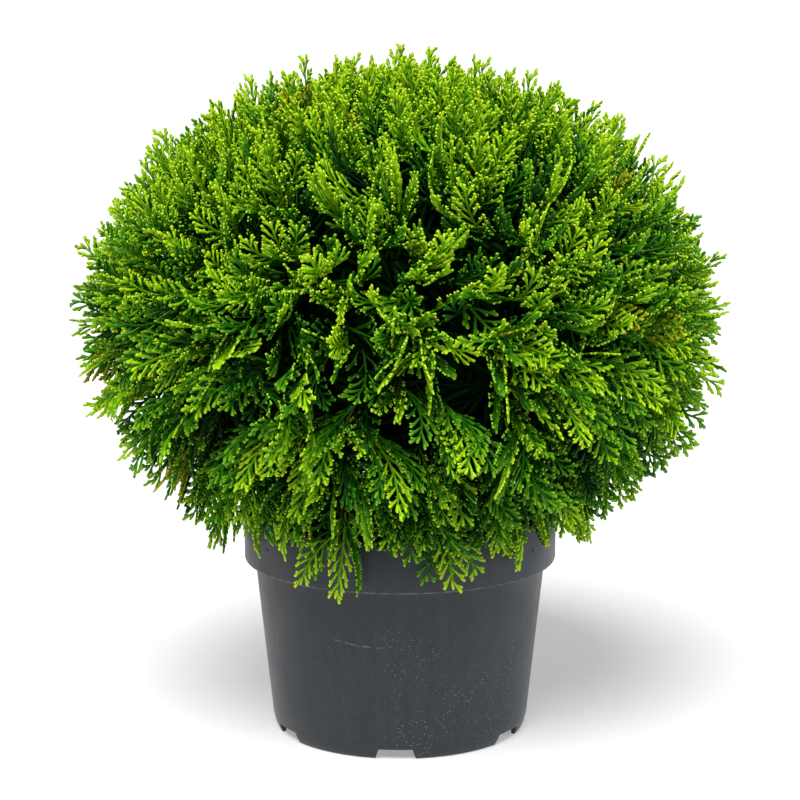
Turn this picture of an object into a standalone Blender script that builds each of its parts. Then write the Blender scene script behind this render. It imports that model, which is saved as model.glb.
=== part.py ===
"""A globe thuja in a round nursery pot, built as separate closed solids.

The pot is a turned shell with a stepped rim and drainage notches in its foot. The potting soil fills it.
A short trunk stands on the soil and runs up through the crown. Boughs leave it, and each one meets the stem
of one dense mass of foliage: twigs that branch from that stem, a core round them, and flat toothed sprays
standing out of the core. Metres, +Z up, origin under the middle of the pot.
"""
import math
import random

import bmesh
import bpy
from mathutils import Matrix, Vector
from mathutils.bvhtree import BVHTree

MM = 0.001

# ---------------------------------------------------------------- driving dimensions
POT_SEGMENTS = 40
FOOT_RADIUS = 75.4 * MM  # outer edge of the ring that the pot stands on
FOOT_WIDTH = 2.0 * MM
HEEL_RADIUS = 78.1 * MM  # where the rounded heel meets the straight wall
HEEL_HEIGHT = 8.0 * MM
NECK_RADIUS = 88.4 * MM  # straight wall just under the rim
RIM_RADIUS = 95.0 * MM
RIM_BOTTOM = 105.0 * MM
POT_HEIGHT = 136.0 * MM
WALL = 2.0 * MM
FLOOR_BOTTOM = 3.5 * MM
FLOOR_TOP = 5.5 * MM
NOTCH_COUNT = 6
NOTCH_TURN = math.radians(-92.0)  # direction of the notch nearest the front
NOTCH_HEIGHT = 6.0 * MM
NOTCH_WIDTH_LOW = 24.0 * MM
NOTCH_WIDTH_HIGH = 20.0 * MM
NOTCH_INNER = 62.0 * MM  # each notch runs in under the floor as a drainage slot

SMOOTH_ANGLE = math.radians(35.0)
GAP = 0.3 * MM  # clearance between pieces that touch
SOIL_TOP = 122.0 * MM
SOIL_CROWN = 1.5 * MM  # how far the soil rises towards the trunk

CENTRE = Vector((0.0, 0.0, 0.262))  # the middle that the crown's reach is measured from
CROWN_RADIUS = 0.196
CROWN_RISE = 0.151
CROWN_FALL = 0.165
CROWN_FULLNESS = 2.2  # exponent of the lower half's outline: 2 is an ellipse, and more is fuller
CROWN_LOWEST = 0.096  # the lowest that a drooping spray hangs beside the pot
CORE_SHARE = 0.68  # outer limit of the dense cores, as a share of the crown's reach
CORE_FACETS = 3  # how finely the ball that the cores are cut from is divided
CORE_FLOOR = POT_HEIGHT + 6.0 * MM
HOLLOW_SHARE = 0.42  # the twiggy space round the trunk that no core enters
SITE_SHARE = 0.62  # how far out each mass has its middle

ENTRY_DEPTH = 6.0 * MM  # how far inside the hollow the trunk and the boughs end, where the stems take over
TRUNK_FOOT = SOIL_TOP + SOIL_CROWN + GAP
TRUNK_TOP = CENTRE.z + HOLLOW_SHARE * CROWN_RISE - ENTRY_DEPTH
TRUNK_BASE_RADIUS = 8.5 * MM
TRUNK_TIP_RADIUS = 3.4 * MM
TRUNK_FLARE = 5.0 * MM
TRUNK_FLARE_HEIGHT = 16.0 * MM
TRUNK_LEAN = Vector((7.0 * MM, 4.0 * MM, 0.0))
TRUNK_SIDES = 10
TRUNK_STEPS = 5
BOUGH_SIDES = 6
BOUGH_STEPS = 3
BOUGH_BASE_RADIUS = 3.8 * MM
BOUGH_TIP_RADIUS = 2.5 * MM
BOUGH_DIP = 9.0 * MM  # how far a bough sags below the straight line to its mass
STEM_RADIUS = 2.3 * MM
STEM_SIDES = 5
STEM_PAST_MIDDLE = 0.2  # how far a stem runs past its mass's middle, as a share of its length
TWIG_RADIUS = 1.1 * MM

# Rings of masses: name, how many, elevation from the centre, first azimuth, height of the lowest bough.
RINGS = (
    ("lower", 6, math.radians(-30.0), math.radians(-90.0), 0.150),
    ("middle", 7, math.radians(8.0), math.radians(-72.0), 0.196),
    ("upper", 5, math.radians(48.0), math.radians(-90.0), 0.246),
)
FOOT_STEP = 4.0 * MM  # boughs of one ring leave the trunk at rising heights

SPRAY_COUNT = 240
SPRAY_LOWEST = math.radians(-48.0)
SPRAY_HALF_WIDTH = 21.5 * MM
SPRAY_THICKNESS = 2.0 * MM
SPRAY_DEPTH = 0.40  # how far below its tip a spray is rooted in its core, as a share of the crown's reach
SPRAY_LEAN = 0.15  # the most that its tip leans over from its root, as a share of the crown's reach
SPRAY_ELBOW = 0.7  # how far it grows straight outwards before it leans, as a share of its depth
UPRIGHT_ABOVE = math.radians(43.0)  # elevation from which sprays lean straight up
HANGING_BELOW = math.radians(-27.0)  # and from which they hang down
TIP_SHARES = (0.945, 0.995)  # ordinary tips end within these shares of the crown's reach
SKIRT_COUNT = 34  # sprays that hang beside the rim
SKIRT_TIP = (116.0 * MM, 106.0 * MM)  # radius and height
SKIRT_ELBOW = (121.0 * MM, 158.0 * MM)
SKIRT_ROOT = (72.0 * MM, 190.0 * MM)
SKIRT_LONG = (-3.0 * MM, 6.0 * MM)  # how much higher or lower the long ones hang
SKIRT_SHORT = (12.0 * MM, 30.0 * MM)  # and how much higher the others end

SPACE_MARGIN = 0.35 * MM  # half the gap between neighbouring masses
RIM_MARGIN = 2.0 * MM  # how far sprays keep from the rim
PULLS = (0.0, 0.25, 0.5, 0.75)  # ways of pulling a spray's root towards its mass's middle
TIP_PULL = 0.25  # how far the tip follows
NARROWINGS = (1.0, 0.85, 0.7, 0.55)
TURN_SPREAD = 0.6
TURN_STEPS = 8
SEED = 7

# One half of a spray's outline from root to tip: (share of the length, share of the half width).
SPRAY_HALF = ((0.0, 0.05), (0.56, 1.0), (0.53, 0.26), (0.79, 0.80), (0.74, 0.22), (0.93, 0.40))
SPRAY_RIDGES = (0.45, 0.70)  # the two points where the rachis is thickest
SPRAY_SWITCH = 2  # outline points up to this one belong to the first ridge point


# ---------------------------------------------------------------- helpers
def clear_scene():
    for old in list(bpy.data.objects):
        bpy.data.objects.remove(old, do_unlink=True)


def make_material(name, colour, roughness):
    material = bpy.data.materials.new(name)
    material.use_nodes = True
    shader = material.node_tree.nodes["Principled BSDF"]
    shader.inputs["Base Color"].default_value = (*colour, 1.0)
    shader.inputs["Roughness"].default_value = roughness
    shader.inputs["Metallic"].default_value = 0.0
    return material


def object_from(name, points, faces, material=None, collection=None):
    mesh = bpy.data.meshes.new(name)
    mesh.from_pydata([tuple(p) for p in points], [], faces)
    mesh.update()
    if material:
        mesh.materials.append(material)
    made = bpy.data.objects.new(name, mesh)
    (collection or bpy.context.scene.collection).objects.link(made)
    return made


def turned(name, profile, material):
    """A closed solid of revolution. The profile runs counter-clockwise in (radius, z). Radius 0 is a pole."""
    points, rings = [], []
    for radius, z in profile:
        if radius == 0.0:
            rings.append([len(points)] * POT_SEGMENTS)
            points.append((0.0, 0.0, z))
            continue
        rings.append(list(range(len(points), len(points) + POT_SEGMENTS)))
        for i in range(POT_SEGMENTS):
            angle = 2.0 * math.pi * i / POT_SEGMENTS
            points.append((radius * math.cos(angle), radius * math.sin(angle), z))
    faces = []
    for lower, upper in zip(rings, rings[1:] + rings[:1]):
        for i in range(POT_SEGMENTS):
            j = (i + 1) % POT_SEGMENTS
            corners = [lower[i], lower[j], upper[j], upper[i]]
            kept = [c for k, c in enumerate(corners) if c != corners[k - 1]]
            if len(kept) > 2:
                faces.append(kept)
    made = object_from(name, points, faces, material)
    made.data.shade_smooth()
    made.data.set_sharp_from_angle(angle=SMOOTH_ANGLE)
    return made


def limb(name, path, radii, sides, material=None, collection=None, first_normal=None):
    """One tapering limb, with a ring of points round each path point. first_normal turns its flat foot."""
    points, faces = [], []
    count = len(path)
    side_hint = Vector((0.31, 0.95, 0.05)).normalized()
    for i, centre in enumerate(path):
        along = (path[min(i + 1, count - 1)] - path[max(i - 1, 0)]).normalized()
        if i == 0 and first_normal is not None:
            along = first_normal
        across = along.cross(side_hint).normalized()
        other = along.cross(across)
        for k in range(sides):
            angle = 2.0 * math.pi * k / sides
            points.append(centre + radii[i] * (math.cos(angle) * across + math.sin(angle) * other))
    for i in range(count - 1):
        for k in range(sides):
            low, high = i * sides, (i + 1) * sides
            n = (k + 1) % sides
            faces.append([low + k, low + n, high + n, high + k])
    faces.append(list(reversed(range(sides))))
    faces.append([(count - 1) * sides + k for k in range(sides)])
    made = object_from(name, points, faces, material, collection)
    made.data.shade_smooth()
    made.data.set_sharp_from_angle(angle=SMOOTH_ANGLE)
    return made


def bezier(start, control, end, steps):
    """Points along a quadratic curve."""
    found = []
    for i in range(steps + 1):
        t = i / steps
        found.append((1 - t) ** 2 * start + 2 * t * (1 - t) * control + t * t * end)
    return found


def direction(azimuth, elevation):
    flat = math.cos(elevation)
    return Vector((flat * math.cos(azimuth), flat * math.sin(azimuth), math.sin(elevation)))


def crown_reach(way):
    """Distance from CENTRE to the crown's outline in the unit direction way, flattened above, fuller below."""
    flat = math.hypot(way.x, way.y) / CROWN_RADIUS
    if way.z > 0:
        return 1.0 / math.hypot(flat, way.z / CROWN_RISE)
    return (flat**CROWN_FULLNESS + (-way.z / CROWN_FALL) ** CROWN_FULLNESS) ** (-1.0 / CROWN_FULLNESS)


# ---------------------------------------------------------------- pot and soil
def make_pot(material):
    lip = 1.0 * MM
    profile = [
        (FOOT_RADIUS - FOOT_WIDTH, 0.0),
        (FOOT_RADIUS, 0.0),
        (HEEL_RADIUS, HEEL_HEIGHT),
        (NECK_RADIUS, RIM_BOTTOM - 0.4 * MM),
        (RIM_RADIUS - 1.6 * MM, RIM_BOTTOM),
        (RIM_RADIUS - 0.2 * MM, RIM_BOTTOM + 1.4 * MM),
        (RIM_RADIUS, POT_HEIGHT - 1.2 * MM),
        (RIM_RADIUS - lip, POT_HEIGHT),
        (RIM_RADIUS - WALL, POT_HEIGHT),
        (RIM_RADIUS - WALL - 0.4 * MM, RIM_BOTTOM + 2.6 * MM),
        (NECK_RADIUS - WALL, RIM_BOTTOM + 1.8 * MM),
        (HEEL_RADIUS - WALL, HEEL_HEIGHT),
        (HEEL_RADIUS - WALL - 1.0 * MM, FLOOR_TOP),
        (0.0, FLOOR_TOP),
        (0.0, FLOOR_BOTTOM),
        (FOOT_RADIUS - FOOT_WIDTH - 0.3 * MM, FLOOR_BOTTOM),
    ]
    pot = turned("pot", profile, material)
    cutter = make_notch_cutter()
    cut = pot.modifiers.new("notches", "BOOLEAN")
    cut.operation = "DIFFERENCE"
    cut.object = cutter
    return pot


def make_notch_cutter():
    """Six tapered blocks, each wider at the ground, that cut the foot and the edge of the floor."""
    points, faces = [], []
    below = 2.0 * MM
    outer = HEEL_RADIUS + 6.0 * MM
    widen = (NOTCH_WIDTH_LOW - NOTCH_WIDTH_HIGH) * below / NOTCH_HEIGHT
    low = (NOTCH_WIDTH_LOW + widen) / 2
    high = NOTCH_WIDTH_HIGH / 2
    for k in range(NOTCH_COUNT):
        turn = Matrix.Rotation(NOTCH_TURN + 2.0 * math.pi * k / NOTCH_COUNT, 4, "Z")
        first = len(points)
        for z, half in ((-below, low), (NOTCH_HEIGHT, high)):
            for x, y in ((NOTCH_INNER, -half), (outer, -half), (outer, half), (NOTCH_INNER, half)):
                points.append(turn @ Vector((x, y, z)))
        for face in ((3, 2, 1, 0), (4, 5, 6, 7), (0, 1, 5, 4), (1, 2, 6, 5), (2, 3, 7, 6), (3, 0, 4, 7)):
            faces.append([first + i for i in face])
    cutter = object_from("notch_cutter", points, faces)
    cutter.hide_render = True
    cutter.display_type = "WIRE"
    return cutter


def make_soil(material):
    profile = [
        (0.0, FLOOR_TOP + GAP),
        (HEEL_RADIUS - WALL - 1.4 * MM, FLOOR_TOP + GAP),
        (NECK_RADIUS - WALL - GAP, RIM_BOTTOM + 1.8 * MM),
        (NECK_RADIUS - WALL, RIM_BOTTOM + 2.3 * MM),
        (RIM_RADIUS - WALL - 0.4 * MM - 2.0 * GAP, RIM_BOTTOM + 3.4 * MM),
        (RIM_RADIUS - WALL - 0.4 * MM - GAP, SOIL_TOP - 2.0 * MM),
        (RIM_RADIUS - WALL - 6.0 * MM, SOIL_TOP),
        (3.0 * TRUNK_BASE_RADIUS, SOIL_TOP + SOIL_CROWN),
        (0.0, SOIL_TOP + SOIL_CROWN),
    ]
    return turned("potting_soil", profile, material)


# ---------------------------------------------------------------- trunk and boughs
def trunk_share(z):
    return (z - TRUNK_FOOT) / (TRUNK_TOP - TRUNK_FOOT)


def trunk_middle(z):
    """The trunk's centreline: upright at its foot, leaning a little further up."""
    return Vector((0.0, 0.0, z)) + TRUNK_LEAN * trunk_share(z) ** 2


def trunk_radius(z):
    flare = TRUNK_FLARE * max(0.0, 1.0 - (z - TRUNK_FOOT) / TRUNK_FLARE_HEIGHT) ** 2
    return TRUNK_BASE_RADIUS + (TRUNK_TIP_RADIUS - TRUNK_BASE_RADIUS) * trunk_share(z) + flare


def make_trunk(material):
    flare_top = TRUNK_FOOT + TRUNK_FLARE_HEIGHT
    heights = [TRUNK_FOOT, TRUNK_FOOT + TRUNK_FLARE_HEIGHT / 4, TRUNK_FOOT + TRUNK_FLARE_HEIGHT / 2]
    heights += [flare_top + (TRUNK_TOP - flare_top) * i / TRUNK_STEPS for i in range(TRUNK_STEPS + 1)]
    path = [trunk_middle(z) for z in heights]
    radii = [trunk_radius(z) for z in heights]
    limb("trunk", path, radii, TRUNK_SIDES, material, first_normal=Vector((0.0, 0.0, 1.0)))


def bough_end(way):
    """Where a bough enters its mass: just inside the hollow round the trunk."""
    return CENTRE + way * (HOLLOW_SHARE * crown_reach(way) - ENTRY_DEPTH)


def make_bough(name, way, foot_height, material):
    """One limb that leaves the trunk, sags, curves up and ends at its mass. Returns the way it ends in."""
    outward = Vector((way.x, way.y, 0.0)).normalized()
    start = trunk_middle(foot_height) + outward * (trunk_radius(foot_height) + GAP)
    end = bough_end(way)
    control = start.lerp(end, 0.45) + outward * BOUGH_DIP * 0.7 - Vector((0.0, 0.0, BOUGH_DIP))
    path = bezier(start, control, end, BOUGH_STEPS)
    taper = (BOUGH_TIP_RADIUS - BOUGH_BASE_RADIUS) / BOUGH_STEPS
    radii = [BOUGH_BASE_RADIUS + taper * i for i in range(BOUGH_STEPS + 1)]
    limb(name, path, radii, BOUGH_SIDES, material, first_normal=outward)
    return (path[-1] - path[-2]).normalized()


# ---------------------------------------------------------------- masses of foliage
def mass_space(index, sites, ways):
    """The half spaces (normal, offset) that a mass keeps to: nearer to its own site than to any other site,
    and outside the hollow round the trunk."""
    site, way = sites[index], ways[index]
    planes = []
    for other, position in enumerate(sites):
        if other != index:
            normal = (position - site).normalized()
            planes.append((normal, normal.dot((position + site) / 2) - SPACE_MARGIN))
    inner = HOLLOW_SHARE * crown_reach(way)
    planes.append((-way, -way.dot(CENTRE) - inner))
    return planes


def make_core(planes, collection):
    """The dense heart of a mass: a ball of the crown's shape, cut to the mass's own space."""
    ball = bmesh.new()
    bmesh.ops.create_icosphere(ball, subdivisions=CORE_FACETS, radius=1.0)
    for vertex in ball.verts:
        way = vertex.co.normalized()
        vertex.co = CENTRE + way * crown_reach(way) * CORE_SHARE
    floor = (Vector((0.0, 0.0, -1.0)), -CORE_FLOOR)
    for normal, offset in planes + [floor]:
        everything = ball.verts[:] + ball.edges[:] + ball.faces[:]
        cut = bmesh.ops.bisect_plane(
            ball, geom=everything, plane_co=normal * offset, plane_no=normal, clear_outer=True
        )
        edges = [part for part in cut["geom_cut"] if isinstance(part, bmesh.types.BMEdge)]
        if edges:
            bmesh.ops.contextual_create(ball, geom=edges)
    bmesh.ops.dissolve_degenerate(ball, dist=0.2 * MM, edges=ball.edges[:])
    bmesh.ops.triangulate(ball, faces=ball.faces[:])
    bmesh.ops.recalc_face_normals(ball, faces=ball.faces[:])
    mesh = bpy.data.meshes.new("core")
    ball.to_mesh(mesh)
    ball.free()
    collection.objects.link(bpy.data.objects.new("core", mesh))


def spray_outline():
    """The whole outline, root to tip on one side and back on the other, as (along, across, ridge index)."""
    half = [(s, w, 0 if i <= SPRAY_SWITCH else 1) for i, (s, w) in enumerate(SPRAY_HALF)]
    return half + [(1.0, 0.0, 1)] + [(s, -w, ridge) for s, w, ridge in reversed(half)]


def spray_points(path, turn, half_width):
    """A spray's outline and its ridge points, laid along the curve path and turned about it."""
    root, elbow, tip = path
    chord = (tip - root).normalized()
    bulge = elbow - root.lerp(tip, 0.5)
    normal = bulge - chord * bulge.dot(chord)
    if normal.length < 1.0 * MM:
        normal = chord.orthogonal()
    normal = Matrix.Rotation(turn, 3, chord) @ normal.normalized()
    across = normal.cross(chord)

    def along(share):
        return (1 - share) ** 2 * root + 2 * share * (1 - share) * elbow + share * share * tip

    outline = [along(s) + across * (w * half_width) for s, w, _ in spray_outline()]
    ridges = [along(s) + normal * (side * SPRAY_THICKNESS / 2) for side in (1, -1) for s in SPRAY_RIDGES]
    return outline + ridges


def spray_faces():
    """The triangles of a flat toothed blade, sharp at its edge and thickest along its rachis."""
    outline = spray_outline()
    count = len(outline)
    faces = []
    for side in (0, 1):
        ridge = [count + 2 * side, count + 2 * side + 1]
        for i in range(count):
            j = (i + 1) % count
            a, b = ridge[outline[i][2]], ridge[outline[j][2]]
            found = [[a, i, j]] if a == b else [[a, i, j], [a, j, b]]
            faces += found if side else [list(reversed(face)) for face in found]
    return faces


def keeps_to(points, planes):
    """True if every point keeps to the half spaces and stays clear of the pot and the ground."""
    for point in points:
        if any(point.dot(normal) > offset for normal, offset in planes):
            return False
        over_pot = math.hypot(point.x, point.y) < RIM_RADIUS + RIM_MARGIN
        if over_pot and point.z < POT_HEIGHT + RIM_MARGIN:
            return False
        if point.z < CROWN_LOWEST:
            return False
    return True


def fitting_sprays(root, elbow, tip, home, planes, dice):
    """Every way of laying one spray that keeps to the space: its root pulled towards its mass's middle, the
    spray turned about itself, and narrower where nothing else fits. Each is its root with its points."""
    first_turn = dice.gauss(0.0, TURN_SPREAD)
    for narrowing in NARROWINGS:
        fitting = []
        for pull in PULLS:
            moved = (home - root) * pull
            path = (root + moved, elbow + moved * 0.6, tip + moved * TIP_PULL)
            for step in range(TURN_STEPS):
                turn = first_turn + math.pi * step / TURN_STEPS
                points = spray_points(path, turn, SPRAY_HALF_WIDTH * narrowing)
                if keeps_to(points, planes):
                    fitting.append((path[0], points))
        if fitting:
            return fitting
    return []


def make_sprays(paths, home, planes, dice, fork, collection):
    """Lays each spray where it crosses the ones before it least, with a twig to it from the fork of the stem.
    A spray that doesn't fit is skipped."""
    faces = spray_faces()
    all_points, all_faces, placed = [], [], 0
    for path in paths:
        fitting = fitting_sprays(*path, home, planes, dice)
        if not fitting:
            continue
        others = BVHTree.FromPolygons(all_points, all_faces)
        root, best = min(fitting, key=lambda way: len(others.overlap(BVHTree.FromPolygons(way[1], faces))))
        object_from("spray", best, faces, None, collection)
        twig_end = root.lerp(best[-1], 0.1)
        limb("twig", [fork, twig_end], [TWIG_RADIUS, TWIG_RADIUS / 2], 3, None, collection)
        all_faces += [[len(all_points) + i for i in face] for face in faces]
        all_points += best
        placed += 1
    return placed


def upward_lean(elevation):
    """1 where sprays lean straight up, -1 where they hang down, and between the two in between."""
    share = (elevation - HANGING_BELOW) / (UPRIGHT_ABOVE - HANGING_BELOW)
    return 2.0 * max(0.0, min(1.0, share)) - 1.0


def crown_paths(dice):
    """Root, elbow and tip of every spray: even golden-angle tips, rooted below and leaning over."""
    golden = math.pi * (3.0 - math.sqrt(5.0))
    lowest = math.sin(SPRAY_LOWEST)
    paths = []
    for i in range(SPRAY_COUNT):
        height = lowest + (1.0 - lowest) * (i + 0.5) / SPRAY_COUNT
        elevation = math.asin(height)
        azimuth = i * golden + dice.uniform(-0.05, 0.05)
        way = direction(azimuth, elevation)
        reach = crown_reach(way)
        tip = CENTRE + way * reach * dice.uniform(*TIP_SHARES)
        side = Vector((-math.sin(azimuth), math.cos(azimuth), 0.0))
        lean = way.cross(side) * upward_lean(elevation) + side * dice.uniform(-1.0, 1.0)
        root = tip - (way * SPRAY_DEPTH + lean * SPRAY_LEAN) * reach
        paths.append((root, root + way * SPRAY_DEPTH * SPRAY_ELBOW * reach, tip))
    return paths


def reach_paths():
    """Straight sprays that give the crown its furthest reach: at the top and on four sides."""
    ways = [Vector((0.0, 0.0, 1.0))]
    ways += [direction(quarter * math.pi / 2, 0.0) for quarter in range(4)]
    paths = []
    for way in ways:
        tip = CENTRE + way * crown_reach(way)
        root = tip - way * SPRAY_DEPTH * crown_reach(way)
        paths.append((root, root.lerp(tip, 0.5), tip))
    return paths


def skirt_paths(dice):
    """Sprays that arch out over the rim and hang beside it."""
    paths = []
    for i in range(SKIRT_COUNT):
        azimuth = 2.0 * math.pi * (i + dice.uniform(-0.25, 0.25)) / SKIRT_COUNT
        outward = direction(azimuth, 0.0)
        rise = dice.uniform(*(SKIRT_LONG if i % 5 == 4 or i % 9 == 0 else SKIRT_SHORT))
        path = []
        for (radius, height), share in ((SKIRT_ROOT, 0.0), (SKIRT_ELBOW, 0.4), (SKIRT_TIP, 1.0)):
            path.append(outward * radius + Vector((0.0, 0.0, height + rise * share)))
        paths.append(tuple(path))
    return paths


def keep_largest_shell(mesh):
    """Fills sealed hollows and drops loose scraps: only the shell with the most points stays."""
    work = bmesh.new()
    work.from_mesh(mesh)
    waiting = set(work.verts)
    shells = []
    while waiting:
        shell = {waiting.pop()}
        edge_of_shell = list(shell)
        while edge_of_shell:
            vertex = edge_of_shell.pop()
            near = {edge.other_vert(vertex) for edge in vertex.link_edges} & waiting
            waiting -= near
            shell |= near
            edge_of_shell += near
        shells.append(shell)
    shells.sort(key=len)
    spare = [vertex for shell in shells[:-1] for vertex in shell]
    bmesh.ops.delete(work, geom=spare, context="VERTS")
    work.to_mesh(mesh)
    work.free()


def make_mass(name, index, sites, ways, stem_way, paths, dice, material):
    """Core, stem, twigs and sprays joined by one union into a single closed solid."""
    collection = bpy.data.collections.new(name + "_pieces")
    bpy.context.scene.collection.children.link(collection)
    planes = mass_space(index, sites, ways)
    start = bough_end(ways[index]) + stem_way * GAP
    fork = sites[index] + (sites[index] - start) * STEM_PAST_MIDDLE
    radii = [STEM_RADIUS, STEM_RADIUS * 0.85, STEM_RADIUS * 0.6]
    path = [start, start.lerp(fork, 0.5), fork]
    stem = limb(name, path, radii, STEM_SIDES, material, first_normal=stem_way)
    make_core(planes, collection)
    home = CENTRE + ways[index] * crown_reach(ways[index]) * (1.0 - SPRAY_DEPTH)
    placed = make_sprays(paths, home, planes, dice, start.lerp(fork, 0.8), collection)

    union = stem.modifiers.new("union", "BOOLEAN")
    union.operation = "UNION"
    union.operand_type = "COLLECTION"
    union.solver = "MANIFOLD"  # EXACT leaves faces that touch along an edge where sprays cross
    union.collection = collection
    joined = bpy.data.meshes.new_from_object(stem.evaluated_get(bpy.context.evaluated_depsgraph_get()))
    stem.modifiers.clear()
    keep_largest_shell(joined)
    stem.data = joined
    for used in list(collection.objects):
        bpy.data.objects.remove(used, do_unlink=True)
    bpy.data.collections.remove(collection)
    return placed


def main():
    clear_scene()
    plastic = make_material("pot_plastic", (0.055, 0.060, 0.065), 0.48)
    compost = make_material("potting_compost", (0.045, 0.030, 0.020), 0.95)
    bark = make_material("thuja_bark", (0.16, 0.095, 0.060), 0.85)
    leaf = make_material("thuja_foliage", (0.11, 0.27, 0.012), 0.50)
    dice = random.Random(SEED)

    make_pot(plastic)
    make_soil(compost)
    make_trunk(bark)

    names, ways, stem_ways = ["foliage_top"], [Vector((0.0, 0.0, 1.0))], [Vector((0.0, 0.0, 1.0))]
    for ring, count, elevation, first, foot in RINGS:
        for k in range(count):
            way = direction(first + 2.0 * math.pi * k / count, elevation)
            name = f"{ring}_{k + 1}"
            stem_ways.append(make_bough("bough_" + name, way, foot + FOOT_STEP * (k * 3 % count), bark))
            names.append("foliage_" + name)
            ways.append(way)
    sites = [CENTRE + way * crown_reach(way) * SITE_SHARE for way in ways]

    own_paths = [[] for _ in sites]
    for path in reach_paths() + crown_paths(dice) + skirt_paths(dice):
        middle = (path[0] + path[1] + path[2]) / 3
        nearest = min(range(len(sites)), key=lambda i: (sites[i] - middle).length)
        own_paths[nearest].append(path)
    placed = 0
    for index, name in enumerate(names):
        placed += make_mass(name, index, sites, ways, stem_ways[index], own_paths[index], dice, leaf)
    print(f"{placed} of {sum(map(len, own_paths))} sprays placed")


main()
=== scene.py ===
# %% [markdown]
# A globe thuja in a round nursery pot, built over the imported CAD model. The CAD solids give the pot, the
# soil, the trunk, the boughs and the dense masses of foliage. Here the pot gets its rounded edges and
# scuffed plastic, the wood gets its stringy bark, and every mass becomes real sprays: flat fans whose
# fingers end in round buds. The model is imported first, because every piece stands where the CAD says and
# rides on its one body.

# %% Load the imported model
import itertools
import math
import random
import time

import bpy
import numpy as np
from mathutils import Matrix, Vector, noise


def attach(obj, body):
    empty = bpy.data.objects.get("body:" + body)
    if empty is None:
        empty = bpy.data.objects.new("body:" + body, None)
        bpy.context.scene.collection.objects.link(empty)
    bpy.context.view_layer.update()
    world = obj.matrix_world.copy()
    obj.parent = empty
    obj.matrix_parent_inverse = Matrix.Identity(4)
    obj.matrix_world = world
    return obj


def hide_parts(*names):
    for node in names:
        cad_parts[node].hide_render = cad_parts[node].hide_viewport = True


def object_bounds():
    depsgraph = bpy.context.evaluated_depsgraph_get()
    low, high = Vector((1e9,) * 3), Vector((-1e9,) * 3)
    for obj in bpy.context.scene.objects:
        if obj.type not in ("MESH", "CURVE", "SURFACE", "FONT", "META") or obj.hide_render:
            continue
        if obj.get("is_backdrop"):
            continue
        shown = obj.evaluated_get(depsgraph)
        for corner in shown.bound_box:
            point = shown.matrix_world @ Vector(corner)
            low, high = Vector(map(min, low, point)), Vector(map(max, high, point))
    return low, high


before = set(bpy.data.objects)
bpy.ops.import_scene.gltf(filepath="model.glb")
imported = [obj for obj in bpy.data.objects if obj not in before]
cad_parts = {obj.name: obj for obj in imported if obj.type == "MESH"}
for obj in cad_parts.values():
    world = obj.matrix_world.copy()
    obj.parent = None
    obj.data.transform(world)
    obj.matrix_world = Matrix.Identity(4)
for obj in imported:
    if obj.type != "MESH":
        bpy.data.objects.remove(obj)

MM = 0.001
started = time.time()
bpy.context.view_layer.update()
foliage_nodes = sorted(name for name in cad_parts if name.startswith("foliage_"))
bough_nodes = sorted(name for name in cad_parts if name.startswith("bough_"))
print(len(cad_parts), "CAD nodes,", len(foliage_nodes), "masses of foliage,", len(bough_nodes), "boughs")

# %% [markdown]
# A long lens a good step away sees the plant from a little above its top. A longer focal length from
# further off would flatten the pot's foot, and a wide lens close by would make the crown bulge. The camera
# looks down by about eleven degrees, so that the foot of the pot shows as a shallow curve.

# %% Camera
CAMERA_PLACE = (0.0, -1.486, 0.482)
CAMERA_PITCH = math.radians(10.7)  # below the horizon

camera_data = bpy.data.cameras.new("camera")
camera_data.lens = 112.5
camera_data.sensor_width = 36.0
camera = bpy.data.objects.new("camera", camera_data)
camera.location = CAMERA_PLACE
camera.rotation_euler = (math.radians(90.0) - CAMERA_PITCH, 0.0, 0.0)
bpy.context.scene.collection.objects.link(camera)
bpy.context.scene.camera = camera
print("camera", tuple(camera.location), "lens", camera_data.lens)

# %% [markdown]
# The light of a white tent comes mostly from above. Two very soft sun lamps give it: a strong one high in
# front and a little to the left, and a weak, slightly blue one low on the right. A sun lights plant and
# floor evenly, where a near lamp would leave a bright pool on the floor, and its wide angle keeps every
# shadow soft. A faint white surrounding fills the depths of the crown only a little. The floor glows a
# little, so that it stays almost white, and lies half a millimetre under the pot. The plain colour
# transform keeps the greens saturated.

# %% Lamps, surroundings and floor
FLOOR_SIZE = 60.0
FLOOR_DROP = 0.5 * MM
FLOOR_GREY, FLOOR_GLOW = 0.62, 0.34
WHITE = (1.0, 1.0, 1.0)
COOL = (0.76, 0.87, 1.0)
SURROUNDING_STRENGTH = 0.24


def add_soft_sun(name, towards, strength, spread, colour=WHITE):
    """A sun lamp that shines from the direction towards, with its spread in degrees."""
    data = bpy.data.lights.new(name, "SUN")
    data.color = colour
    data.energy = strength
    data.angle = math.radians(spread)
    lamp = bpy.data.objects.new(name, data)
    lamp.location = Vector(towards).normalized() * 2.0
    lamp.rotation_euler = Vector(towards).to_track_quat("Z", "Y").to_euler()
    bpy.context.scene.collection.objects.link(lamp)


def plain_material(name, colour, roughness, specular=0.5):
    """A material whose shader sockets hold plain values."""
    material = bpy.data.materials.new(name)
    material.use_nodes = True
    shader = material.node_tree.nodes["Principled BSDF"]
    shader.inputs["Base Color"].default_value = (*colour, 1.0)
    shader.inputs["Roughness"].default_value = roughness
    shader.inputs["Specular IOR Level"].default_value = specular
    return material


add_soft_sun("lamp_above", (-0.14, -0.64, 1.0), 4.95, 38.0)
add_soft_sun("lamp_side", (0.95, -0.30, 0.35), 0.85, 40.0, COOL)

world = bpy.data.worlds.new("studio")
world.use_nodes = True
background = world.node_tree.nodes["Background"]
background.inputs["Color"].default_value = (*WHITE, 1.0)
background.inputs["Strength"].default_value = SURROUNDING_STRENGTH
bpy.context.scene.world = world
bpy.context.scene.view_settings.view_transform = "Standard"

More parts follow.
